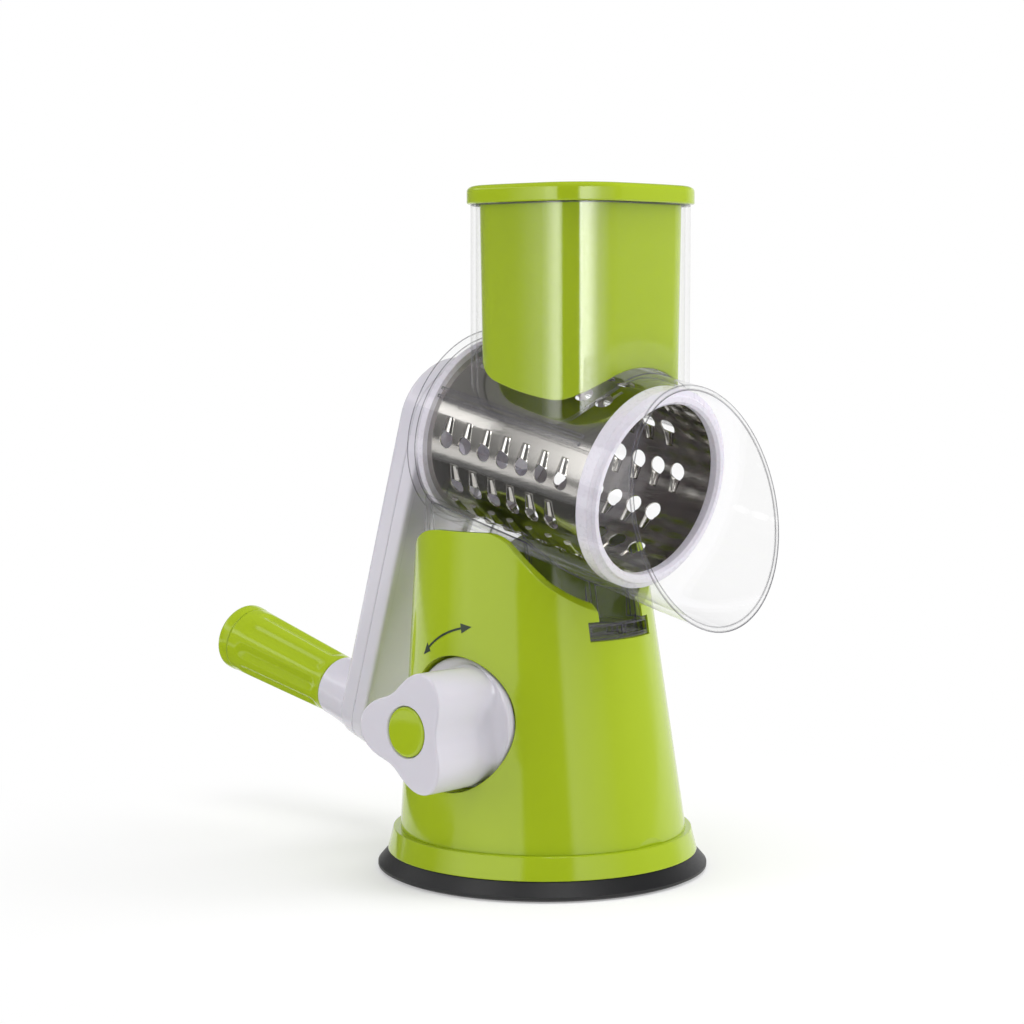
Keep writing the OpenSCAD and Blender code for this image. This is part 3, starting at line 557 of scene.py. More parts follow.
@dataclass
class Knob:
    """White three-lobed lock knob on a round flange, with its green cap."""

    knob_d: float = 45.0
    knob_h: float = 30.5
    waist: float = 14.2
    flange_t: float = 4.0
    sweep_h: float = 7.0
    base_gap: float = 0.3
    soft: float = 0.8
    foot_soft: float = 0.5
    # Drop under the flange's top and inset there, down its round edge
    flange_edge: tuple[tuple[float, float], ...] = ((0.9, 0.0), (0.3, 0.25), (0.0, 0.8))
    lobe_peak: float = 0.01
    sweep_rise: float = 1.3
    sweep_fall: float = 1.8
    sweep_steps: int = 12
    cap_d: float = 17.6
    cap_t: float = 2.4
    cap_proud: float = 0.3
    cap_gap: float = 0.25
    cap_dome: float = 0.25
    cap_edge: tuple[float, float] = (1.2, 0.9)
    # Share of the cap's radius and drop under its top, over the dome
    crown: tuple[tuple[float, float], ...] = ((0.6, 0.08), (0.3, 0.02), (0.0, 0.0))
    # Radius past the cap's and height past the face, up the recess
    well_lip: tuple[tuple[float, float], ...] = ((0.0, -0.5), (0.4, 0.0), (0.6, 2.0))
    well_draft: float = 0.1
    steps: int = 240

    def reach(self, a: float) -> float:
        """Radius of the lobes at angle a."""
        r = self.knob_d / 2
        mean, swing = (r + self.waist) / 2, (r - self.waist) / 2
        peak = self.lobe_peak * mean
        return mean - peak + swing * math.cos(3 * a) + peak * math.cos(6 * a)

    def section(self, z: float, inset: float, sweep: float) -> list[Vector]:
        """Ring at height z: sweep 1 is the round flange, 0 the lobes."""
        found = []
        for i in range(self.steps):
            a = 2 * math.pi * i / self.steps
            r = self.reach(a)
            r += (self.knob_d / 2 - r) * sweep - inset
            found.append(Vector((r * math.sin(a), r * math.cos(a), z)))
        return found

    def body(self) -> Shape:
        """The knob with its round edges, swept flange and cap's recess."""
        top = self.knob_h - self.base_gap
        rings = [self.section(0, self.foot_soft, 1), self.section(self.foot_soft, 0, 1)]
        rings += [self.section(self.flange_t - drop, inset, 1) for drop, inset in self.flange_edge]
        start = self.flange_edge[-1][1]
        for i in range(1, self.sweep_steps + 1):
            t = i / self.sweep_steps
            z = self.flange_t + self.sweep_h * t ** self.sweep_rise
            rings.append(self.section(z, start * (1 - t), (1 - t) ** self.sweep_fall))
        for inset, z in corner(0, top - self.soft, self.soft, top, 7):
            rings.append(self.section(z, inset, 0))
        rings.append(self.section(top, 2 * self.soft, 0))
        low, r = top - self.cap_t + self.cap_proud, self.cap_d / 2
        sides = [(r + out, top + up) for out, up in self.well_lip]
        return carved(loft(rings), revolve([(0, low), (r - self.well_draft, low), *sides, (0, sides[-1][1])]))

    def cap(self) -> Shape:
        """The domed round cap."""
        r = self.cap_d / 2 - self.cap_gap
        low = self.knob_h - self.base_gap - self.cap_t + self.cap_proud
        high = low + self.cap_t
        rim = corner(r, high - self.cap_edge[1], r - self.cap_edge[0], high - self.cap_dome)
        return revolve([(0, low), (r, low), *rim, *((r * share, high - drop) for share, drop in self.crown)])

    def build(self, finish: Finish) -> None:
        """Makes the knob and the cap."""
        place = PLACES.on_knob(PLACES.pocket_x + self.base_gap)
        piece("knob_moulding", self.body().moved(place), finish.white, Body.LOCK, ["lock_knob"], 40)
        piece("knob_cap_moulding", self.cap().moved(place), finish.green, Body.LOCK, ["knob_cap"])
        dress("knob_screw", finish.screw)
        dress("cam_shaft", finish.acetal)


@dataclass
class Crank:
    """White two-shell arm with its collar, the fluted green grip and what holds it."""

    head_r: float = 21.0
    foot_r: float = 14.5
    front_t: float = 6.0
    rear_t: float = 8.0
    border: float = 3.4
    panel: float = 1.2
    panel_corner: float = 4.0
    # Rise over the panel's floor or over the arm's face, and how far the wall has drawn in there
    panel_foot: tuple[tuple[float, float], ...] = ((0.0, 0.5), (0.35, 0.12))
    panel_rim: tuple[tuple[float, float], ...] = ((-0.35, 0.0), (0.0, -0.35), (2.0, -0.5))
    seam: float = 0.22
    half_seam: float = 0.02
    round_front: float = 1.5
    round_rear: float = 3.0
    collar_l: float = 15.5
    collar_root: float = 13.6
    collar_tip: float = 11.6
    collar_flare: float = 1.5
    collar_sink: float = 4.0
    collar_foot: float = 2.6
    collar_over: float = 2.0
    collar_edge: tuple[float, float] = (0.2, 0.6)
    collar_steps: int = 16
    grip_l: float = 62.0
    grip_foot: float = 11.2
    grip_tip: float = 13.1
    cap_l: float = 9.0
    cap_over: float = 0.3
    cap_waist: float = 0.45
    grip_steps: int = 256
    grip_rows: int = 90
    flutes: int = 8
    flute_half_w: float = 3.612
    flute_depth: float = 1.25
    flute_start: float = 2.5
    flute_stop: float = 5.0
    flute_fade: float = 5.0
    # How steeply the flutes run out, and how round their floor is
    flute_powers: tuple[float, float] = (1.2, 0.8)
    # Inset and height, at the foot and then down from the tip
    grip_ends: tuple[tuple[float, float], ...] = ((0.9, 0.0), (0.3, 0.15), (0.15, 0.12), (0.6, 0.0))
    fluted_from: float = 0.6
    fluted_to: float = 0.3
    bore_r: float = 4.4
    bore_l: float = 4.0
    journal_r: float = 7.92
    journal_edge: float = 0.6
    socket_r: float = 5.2
    socket_l: float = 3.0
    face_gap: float = 0.3

    def outline(self, inset: float, z: float) -> list[Vector]:
        """Outline of the arm at height z, drawn inward by inset."""
        length = PLACES.crank_l
        a = math.asin((self.head_r - self.foot_r) / length)
        found = []
        for cy, r, start, end in ((0.0, self.head_r, -a, math.pi + a),
                                  (-length, self.foot_r, math.pi + a, 2 * math.pi - a)):
            for i in range(49):
                t = start + (end - start) * i / 48
                found.append(Vector(((r - inset) * math.cos(t), cy + (r - inset) * math.sin(t), z)))
        return found

    def panel_tool(self) -> Shape:
        """Tool that sinks the panel in the front of the arm."""
        length = PLACES.crank_l
        a = math.asin((self.head_r - self.foot_r) / length)
        top_y, soft = -self.head_r - self.border, self.panel_corner
        levels = [(self.front_t - self.panel + up, more) for up, more in self.panel_foot]
        levels += [(self.front_t + up, more) for up, more in self.panel_rim]
        rings = []
        for z, more in levels:
            r = self.foot_r - self.border - more
            one = [Vector((r * math.cos(t), -length + r * math.sin(t), z))
                   for t in (math.pi + a + (math.pi - 2 * a) * i / 32 for i in range(33))]
            side = r * math.cos(a) + (length + r * math.sin(a) + top_y) * math.tan(a)
            for sign in (1, -1):
                for i in range(9):
                    t = math.pi / 2 * i / 8
                    t = t if sign > 0 else math.pi / 2 - t
                    across, up = side - soft + soft * math.cos(t), top_y - soft + soft * math.sin(t) - more
                    one.append(Vector((sign * across, up, z)))
            rings.append(one)
        return loft(rings)

    def front(self) -> Shape:
        """Front shell with round edge, sunken panel and journal."""
        edge = corner(0, self.front_t - self.round_front, self.round_front, self.front_t)
        rings = [self.outline(self.seam, self.half_seam), self.outline(0, self.seam + 0.1)]
        rings += [self.outline(i, z) for i, z in edge]
        shell = carved(loft(rings), self.panel_tool()).moved(PLACES.on_crank())
        length = PLACES.rear_wall_s - PLACES.crank_s - self.face_gap
        start, floor = self.front_t / 2, length - self.socket_l
        journal = revolve([(0, start), (self.journal_r, start), (self.journal_r, length - self.journal_edge),
                           (self.journal_r - self.journal_edge, length), (self.socket_r, length),
                           (self.socket_r, floor), (0, floor)])
        return shell.joined(journal.moved(PLACES.on_axis(PLACES.crank_s)))

    def rear(self) -> Shape:
        """Rear shell with a rounder edge and the collar that the grip turns against."""
        edge = corner(0, -(self.rear_t - self.round_rear), self.round_rear, -self.rear_t, 9)
        rings = [self.outline(self.seam, -self.half_seam), self.outline(0, -self.seam - 0.1)]
        rings += [self.outline(i, z) for i, z in edge]
        shell = loft(rings).moved(PLACES.on_crank())
        end = self.rear_t + self.collar_l
        start = self.rear_t - self.collar_sink
        sides = []
        for i in range(self.collar_steps + 1):
            t = i / self.collar_steps
            r = self.collar_tip + (self.collar_root - self.collar_tip) * (1 - t) ** self.collar_flare
            sides.append((r, self.rear_t - self.collar_foot + (end - self.rear_t + self.collar_over) * t))
        collar = revolve([(0, start), (self.collar_root - 1, start), *sides,
                          (self.collar_tip - self.collar_edge[0], end - self.collar_edge[0]),
                          (self.collar_tip - self.collar_edge[1], end), (self.bore_r, end),
                          (self.bore_r, end - self.bore_l), (0, end - self.bore_l)])
        return shell.joined(collar.moved(PLACES.on_grip()))

    def fluted(self, z: float, length: float, steps: int) -> list[Vector]:
        """Ring of the grip at height z, with its flutes, which run out toward both ends of length."""
        base = self.grip_foot + (self.grip_tip - self.grip_foot) * z / length
        ends = ((z - self.flute_start) / self.flute_fade, (length - self.flute_stop - z) / self.flute_fade)
        inside = max(0.0, min(1.0, *ends))
        fade, floor = self.flute_powers
        depth = self.flute_depth * math.sin(math.pi / 2 * inside) ** fade if inside > 0 else 0.0
        found = []
        for i in range(steps):
            a = 2 * math.pi * i / steps
            b = (a * self.flutes / (2 * math.pi) + 0.5) % 1.0
            u = abs(b - 0.5) * 2 * math.pi / self.flutes * base / self.flute_half_w
            r = base - depth * (0.5 + 0.5 * math.cos(math.pi * min(1.0, u))) ** floor
            found.append(Vector((r * math.cos(a), r * math.sin(a), z)))
        return found

    def grip(self) -> Shape:
        """Tapered grip with soft flutes and round ends."""
        length, steps, rows = self.grip_l - self.cap_l, self.grip_steps, self.grip_rows
        span = length - self.fluted_from - self.fluted_to
        rings = [ring(self.bore_r, 0, steps)]
        rings += [ring(self.grip_foot - inset, z, steps) for inset, z in self.grip_ends[:2]]
        rings += [self.fluted(self.fluted_from + span * (i / rows), length, steps) for i in range(rows + 1)]
        rings += [ring(self.grip_tip - inset, length - z, steps) for inset, z in self.grip_ends[2:]]
        return loft(rings)

    def cap(self) -> Shape:
        """Domed end of the grip."""
        r, low = self.grip_tip + self.cap_over, self.cap_waist * self.cap_l
        high = self.cap_l - 0.06 - low
        turns = [math.radians(a) for a in range(0, 88, 4)]
        dome = [(r * math.cos(a), low + high * math.sin(a)) for a in turns]
        return revolve([(0, 0.02), (self.grip_tip - 0.5, 0.02), (self.grip_tip, 0.35), (r - 0.05, low / 2),
                        *dome, (0, low + high)], 160)

    def build(self, finish: Finish) -> None:
        """Makes the crank's pieces."""
        piece("arm_front_shell", self.front(), finish.white, Body.CRANK, ["crank_front_shell"])
        piece("arm_rear_shell", self.rear(), finish.white, Body.CRANK, ["crank_rear_shell"])
        start = self.rear_t + self.collar_l + self.face_gap
        grip = self.grip().moved(PLACES.on_grip(start))
        piece("grip_moulding", grip, finish.green, Body.GRIP, ["grip"])
        cap = self.cap().moved(PLACES.on_grip(start + self.grip_l - self.cap_l))
        piece("grip_cap_moulding", cap, finish.green, Body.GRIP, ["grip_cap"])
        for name in ("grip_spindle", "grip_washer", "drive_shaft"):
            dress(name, finish.bar)
        dress("grip_screw", finish.screw)


@dataclass
class Pusher:
    """Green pusher with a saddle-shaped foot, and its lid with a soft edge."""

    gap: float = 0.6
    wall: float = 1.8
    draft: float = 1.4
    foot_r: float = 38.4
    over: float = 2.1
    crown: float = 2.2
    crowned: float = 5.0
    arc: int = 20
    # Shares of the foot's width at which the saddle gets a ring
    saddle_rings: tuple[float, ...] = (0.12, 0.25, 0.38, 0.5, 0.62, 0.74, 0.85, 0.93)
    foot_soft: float = 0.7
    # Inset and height over the lid's underside, out to its lower edge
    lid_foot: tuple[tuple[float, float], ...] = ((1.9, 0.5), (1.7, 0.02), (0.35, 0.0), (0, 0.35), (0, 1.5))
    # Inset and drop under the lid's top, in from its round edge
    lid_crown: tuple[tuple[float, float], ...] = ((6, 0.18), (11, 0.08), (16, 0.03))

    def outline(self, half_w: float, half_l: float, r: float, z: Height) -> list[Vector]:
        """Rounded rectangle with crowned sides about the chute's middle.

        Args:
            half_w: Half the width along X.
            half_l: Half the length along Y.
            r: Radius of the corners.
            z: Height, or what gives it at each point.

        Returns:
            The ring of points.
        """
        lean = math.radians(self.crowned)
        t = math.tan(lean / 2)
        cx = ((half_w - r) - (half_l - r) * t) / (1 - t * t)
        cy = (half_l - r) - cx * t
        side_r, end_r = r + cy / math.sin(lean), r + cx / math.sin(lean)
        quarter = [(half_w - side_r, 0.0, side_r, lean * i / 5) for i in range(5)]
        quarter += [(cx, cy, r, lean + (math.pi / 2 - 2 * lean) * i / self.arc) for i in range(self.arc + 1)]
        quarter += [(0.0, half_l - end_r, end_r, math.pi / 2 - lean * i / 5) for i in range(4, 0, -1)]
        found = []
        back = [(0.0, half_l - end_r, end_r, math.pi / 2)] + quarter[:0:-1]
        for k in range(4):
            for mx, my, mr, a in (quarter if k % 2 == 0 else back):
                x, y = mx + mr * math.cos(a), my + mr * math.sin(a)
                x, y = x * (1 if k in (0, 3) else -1), y * (1 if k in (0, 1) else -1) - PLACES.chute_y
                found.append(Vector((x, y, z(x, y) if callable(z) else z)))
        return found

    def saddle(self, x: float, y: float) -> float:
        """Height of the cylinder about the drum axis over (x, y)."""
        t = math.radians(PLACES.drum_tilt)
        up = math.sqrt(max(self.foot_r ** 2 - x ** 2, 0))
        return PLACES.axis_z + (up + y * math.sin(t)) / math.cos(t)

    def section(self, z: Height, share: float = 1.0, inset: float = 0.0) -> list[Vector]:
        """Section of the pusher at height z, share of its full width."""
        half_w = PLACES.chute_w / 2 - self.wall - self.gap
        half_l = PLACES.chute_l / 2 - self.wall - self.gap
        r = PLACES.chute_corner - self.wall - self.gap
        mean = z(0, -PLACES.chute_y) if callable(z) else z
        k = share * (1 - self.draft / half_w * (PLACES.lid_z - mean) / (PLACES.lid_z - PLACES.axis_z))
        return self.outline(half_w * k - inset, half_l * k - inset, max(r * k - inset, 0.5), z)

    def body(self) -> Shape:
        """The pusher, closed, with the saddle under it."""
        rings = [[Vector((0, -PLACES.chute_y, self.saddle(0, -PLACES.chute_y)))]]
        rings += [self.section(self.saddle, share) for share in self.saddle_rings]
        rings.append(self.section(self.saddle, 1.0, self.foot_soft))
        rings.append(self.section(lambda x, y: self.saddle(x, y) + 0.2, 1.0, 0.2))
        rings.append(self.section(lambda x, y: self.saddle(x, y) + self.foot_soft))
        for t in (0.25, 0.5, 0.75):
            def between(x: float, y: float, t: float = t) -> float:
                """Height a share t of the way from the saddle to the lid."""
                return self.saddle(x, y) + (PLACES.lid_z - self.saddle(x, y)) * t
            rings.append(self.section(between))
        rings.append(self.section(PLACES.lid_z))
        rings.append(self.section(PLACES.lid_z, 0.5))
        return loft(rings)

    def lid(self) -> Shape:
        """The lid with a round upper edge and a faint crown."""
        half_w, half_l = PLACES.chute_w / 2 + self.over, PLACES.chute_l / 2 + self.over
        r, low, high = PLACES.chute_corner + self.over, PLACES.lid_z, PLACES.total_h
        steps = [(inset, low + up) for inset, up in self.lid_foot]
        steps += corner(0, high - self.crown, self.crown + 0.4, high - 0.3, 8)
        steps += [(inset, high - drop) for inset, drop in self.lid_crown]
        rings = [self.outline(half_w - i, half_l - i, max(r - i, 2.0), z) for i, z in steps]
        rings.append([Vector((0, -PLACES.chute_y, high))])
        return loft(rings)

    def build(self, finish: Finish) -> None:
        """Makes the pusher and the lid."""
        piece("pusher_moulding", self.body(), finish.green, Body.PUSHER, ["pusher_body"])
        piece("lid_moulding", self.lid(), finish.green, Body.PUSHER, ["pusher_lid"])


@dataclass
class Base:
    """Suction foot, ring and body, and the mark for the knob's turn."""

    foot_r: float = 50.7
    taper: float = 0.101
    lean: float = 3.7
    ring_top: float = 14.2
    mark_y: float = -10.3
    mark_z: float = 52.7
    mark_r: float = 37.2
    mark_from: float = 76.5
    mark_to: float = 49.5
    mark_w: float = 0.75
    mark_t: float = 0.12
    mark_sink: float = 0.05
    mark_steps: int = 24
    head_l: float = 4.2
    head_w: float = 3.4

    def skin_x(self, y: float, z: float) -> float:
        """X of the body's skin on the knob's side at (y, z)."""
        t = math.radians(-self.lean)
        dz = z - self.ring_top
        across, up = y * math.cos(t) + dz * math.sin(t), -y * math.sin(t) + dz * math.cos(t)
        return -math.sqrt((self.foot_r - self.taper * up) ** 2 - across ** 2)

    def patch(self, outline: Sequence[tuple[float, float]]) -> Shape:
        """A thin printed patch over (y, z) points that lies on the skin."""
        lower = [Vector((self.skin_x(y, z) + self.mark_sink, y, z)) for y, z in outline]
        upper = [Vector((self.skin_x(y, z) - self.mark_t, y, z)) for y, z in outline]
        return loft([lower, upper])

    def mark(self) -> Shape:
        """Arc over the knob, with an arrow head at each end."""
        def at(r: float, a: float) -> tuple[float, float]:
            """The (y, z) place at radius r and angle a of the arc."""
            t = math.radians(a)
            return self.mark_y + r * math.cos(t), self.mark_z + r * math.sin(t)
        steps, half, wing = self.mark_steps, self.mark_w / 2, self.head_w / 2
        span = [self.mark_from + (self.mark_to - self.mark_from) * i / steps for i in range(steps + 1)]
        made = Shape()
        for a, b in zip(span, span[1:]):
            made = made.joined(self.patch([at(self.mark_r - half, a), at(self.mark_r + half, a),
                                          at(self.mark_r + half, b), at(self.mark_r - half, b)]))
        turn = math.degrees(self.head_l / self.mark_r)
        for a, tip in ((self.mark_from, self.mark_from + turn), (self.mark_to, self.mark_to - turn)):
            made = made.joined(self.patch([at(self.mark_r - wing, a), at(self.mark_r + wing, a),
                                          at(self.mark_r, tip)]))
        return made

    def build(self, finish: Finish) -> None:
        """Dresses the base and prints the mark."""
        for name in ("base_ring", "base_body"):
            dress(name, finish.green)
        dress("suction_cup", finish.rubber)
        for name in ("cup_plate", "lift_stem"):
            dress(name, finish.acetal)
        piece("turn_mark", self.mark(), finish.ink, Body.BASE)


@dataclass
class Feed:
    """Clear housing and the drum inside it."""

    def build(self, finish: Finish) -> None:
        """Dresses the housing and the drum."""
        dress("feed_housing", finish.clear)
        dress("drum_blade", finish.sheet)
        for name in ("drum_front_ring", "drum_rear_hub"):
            dress(name, finish.acetal)


@dataclass
class Screws:
    """Screws that repeat: three under the base ring and two in the arm, set out by Geometry Nodes."""

    base_place_r: float = 40.6
    base_head_r: float = 3.2
    base_head_t: float = 2.0
    base_shank_r: float = 1.5
    base_l: float = 11.0
    floor_z: float = 16.2
    arm_places: tuple[float, float] = (-34.0, -72.0)
    arm_head_r: float = 2.6
    arm_head_t: float = 1.8
    arm_shank_r: float = 1.4
    arm_l: float = 6.2
    arm_rear_t: float = 8.0
    # Share of the head's radius at which its crown has dropped by crown_drop
    crown_share: float = 0.7
    crown_drop: float = 0.1
    tip_l: float = 0.8
    # Share of the head's radius and of its thickness, over the round of a pan head
    pan: tuple[tuple[float, float], ...] = ((0.93, 0.6), (1.0, 0.2))
    # Half length, half width and floor of the cross recess, as shares of the head
    cross: tuple[float, float, float] = (0.6, 0.13, 0.35)

    def screw(self, head_r: float, head_t: float, shank_r: float, shank_l: float) -> Shape:
        """A pan head with a cross recess, head down, from the head's underside at zero."""
        pan = [(head_r * r, -head_t * t) for r, t in self.pan]
        crown = (head_r * self.crown_share, -head_t + self.crown_drop)
        head = revolve([(0, -head_t), crown, *pan, (head_r, 0), (shank_r, 0),
                        (shank_r, shank_l - self.tip_l), (0, shank_l)], 24)
        for turn in (0, math.pi / 2):
            a, b, top = head_r * self.cross[0], head_r * self.cross[1], -head_t * self.cross[2]
            plan = ((-a, -b), (a, -b), (a, b), (-a, b))
            box = [Vector((x, y, z)) for z in (-head_t - 1, top) for x, y in plan]
            tool = loft([box[:4], box[4:]]).moved(Matrix.Rotation(turn, 4, "Z"))
            head = carved(head, tool)
        return head

    def laid_out(self, name: str, one: Shape, count: int, first: Vector, step: Vector, turn: float,
                 look: bpy.types.Material) -> Shape:
        """Sets copies of one shape out along a line or round a circle with a Geometry Nodes tree.

        Args:
            name: Name of the tree.
            one: The shape to repeat, in millimetres.
            count: How many.
            first: Place of the first.
            step: Shift from one to the next.
            turn: Turn about Z from one to the next, in radians.
            look: Material set in the tree.

        Returns:
            The repeated shapes as one.
        """
        source = linked(name + "_one", one.mesh(name + "_one"))
        host = linked(name + "_host", bpy.data.meshes.new(name + "_host"))
        tree = bpy.data.node_groups.new(name, "GeometryNodeTree")
        named = {}
        given = {"Screw": ("Object", source), "Count": ("Int", count), "First": ("Vector", first * MM),
                 "Step": ("Vector", step * MM), "Turn": ("Float", turn)}
        for label, (kind, _) in given.items():
            socket = tree.interface.new_socket(label, in_out="INPUT", socket_type="NodeSocket" + kind)
            named[label] = socket.identifier
        tree.interface.new_socket("Geometry", in_out="OUTPUT", socket_type="NodeSocketGeometry")
        inputs = add_node(tree, "NodeGroupInput").outputs
        line = add_node(tree, "GeometryNodeMeshLine",
                        links={"Count": inputs["Count"], "Start Location": inputs["First"],
                               "Offset": inputs["Step"]})
        index = add_node(tree, "GeometryNodeInputIndex")
        angle = add_node(tree, "ShaderNodeMath", {"operation": "MULTIPLY"},
                         links={0: index.outputs[0], 1: inputs["Turn"]})
        facing = add_node(tree, "ShaderNodeCombineXYZ", links={"Z": angle.outputs[0]})
        turned = add_node(tree, "ShaderNodeVectorRotate", {"rotation_type": "EULER_XYZ"},
                          links={"Vector": add_node(tree, "GeometryNodeInputPosition").outputs[0],
                                 "Rotation": facing.outputs[0]})
        placed = add_node(tree, "GeometryNodeSetPosition",
                          links={"Geometry": line.outputs[0], "Position": turned.outputs[0]})
        info = add_node(tree, "GeometryNodeObjectInfo", links={"Object": inputs["Screw"]})
        copies = add_node(tree, "GeometryNodeInstanceOnPoints",
                          links={"Points": placed.outputs[0], "Instance": info.outputs["Geometry"],
                                 "Rotation": facing.outputs[0]})
        real = add_node(tree, "GeometryNodeRealizeInstances", links={0: copies.outputs[0]})
        dressed = add_node(tree, "GeometryNodeSetMaterial", values={"Material": look},
                           links={"Geometry": real.outputs[0]})
        add_node(tree, "NodeGroupOutput", links={0: dressed.outputs[0]})
        step_mod = host.modifiers.new(name, "NODES")
        step_mod.node_group = tree
        for label, (_, value) in given.items():
            step_mod[named[label]] = value
        found = evaluated(host)
        host.modifiers.remove(step_mod)
        discard(host, source)
        return found

    def build(self, finish: Finish) -> None:
        """Makes both sets of screws."""
        base = self.screw(self.base_head_r, self.base_head_t, self.base_shank_r, self.base_l)
        first = Vector((0, self.base_place_r, self.floor_z))
        around = self.laid_out("base_screw_ring", base, 3, first, Vector(), 2 * math.pi / 3, finish.screw)
        piece("base_screw_set", around, finish.screw, Body.BASE, ["base_screws"])
        arm = self.screw(self.arm_head_r, self.arm_head_t, self.arm_shank_r, self.arm_l)
        first = Vector((0, self.arm_places[0], self.arm_head_t * 2 - self.arm_rear_t))
        step = Vector((0, self.arm_places[1] - self.arm_places[0], 0))
        row = self.laid_out("arm_screw_row", arm, 2, first, step, 0.0, finish.screw).moved(PLACES.on_crank())
        piece("arm_screw_set", row, finish.screw, Body.CRANK, ["crank_screws"])


# Studio


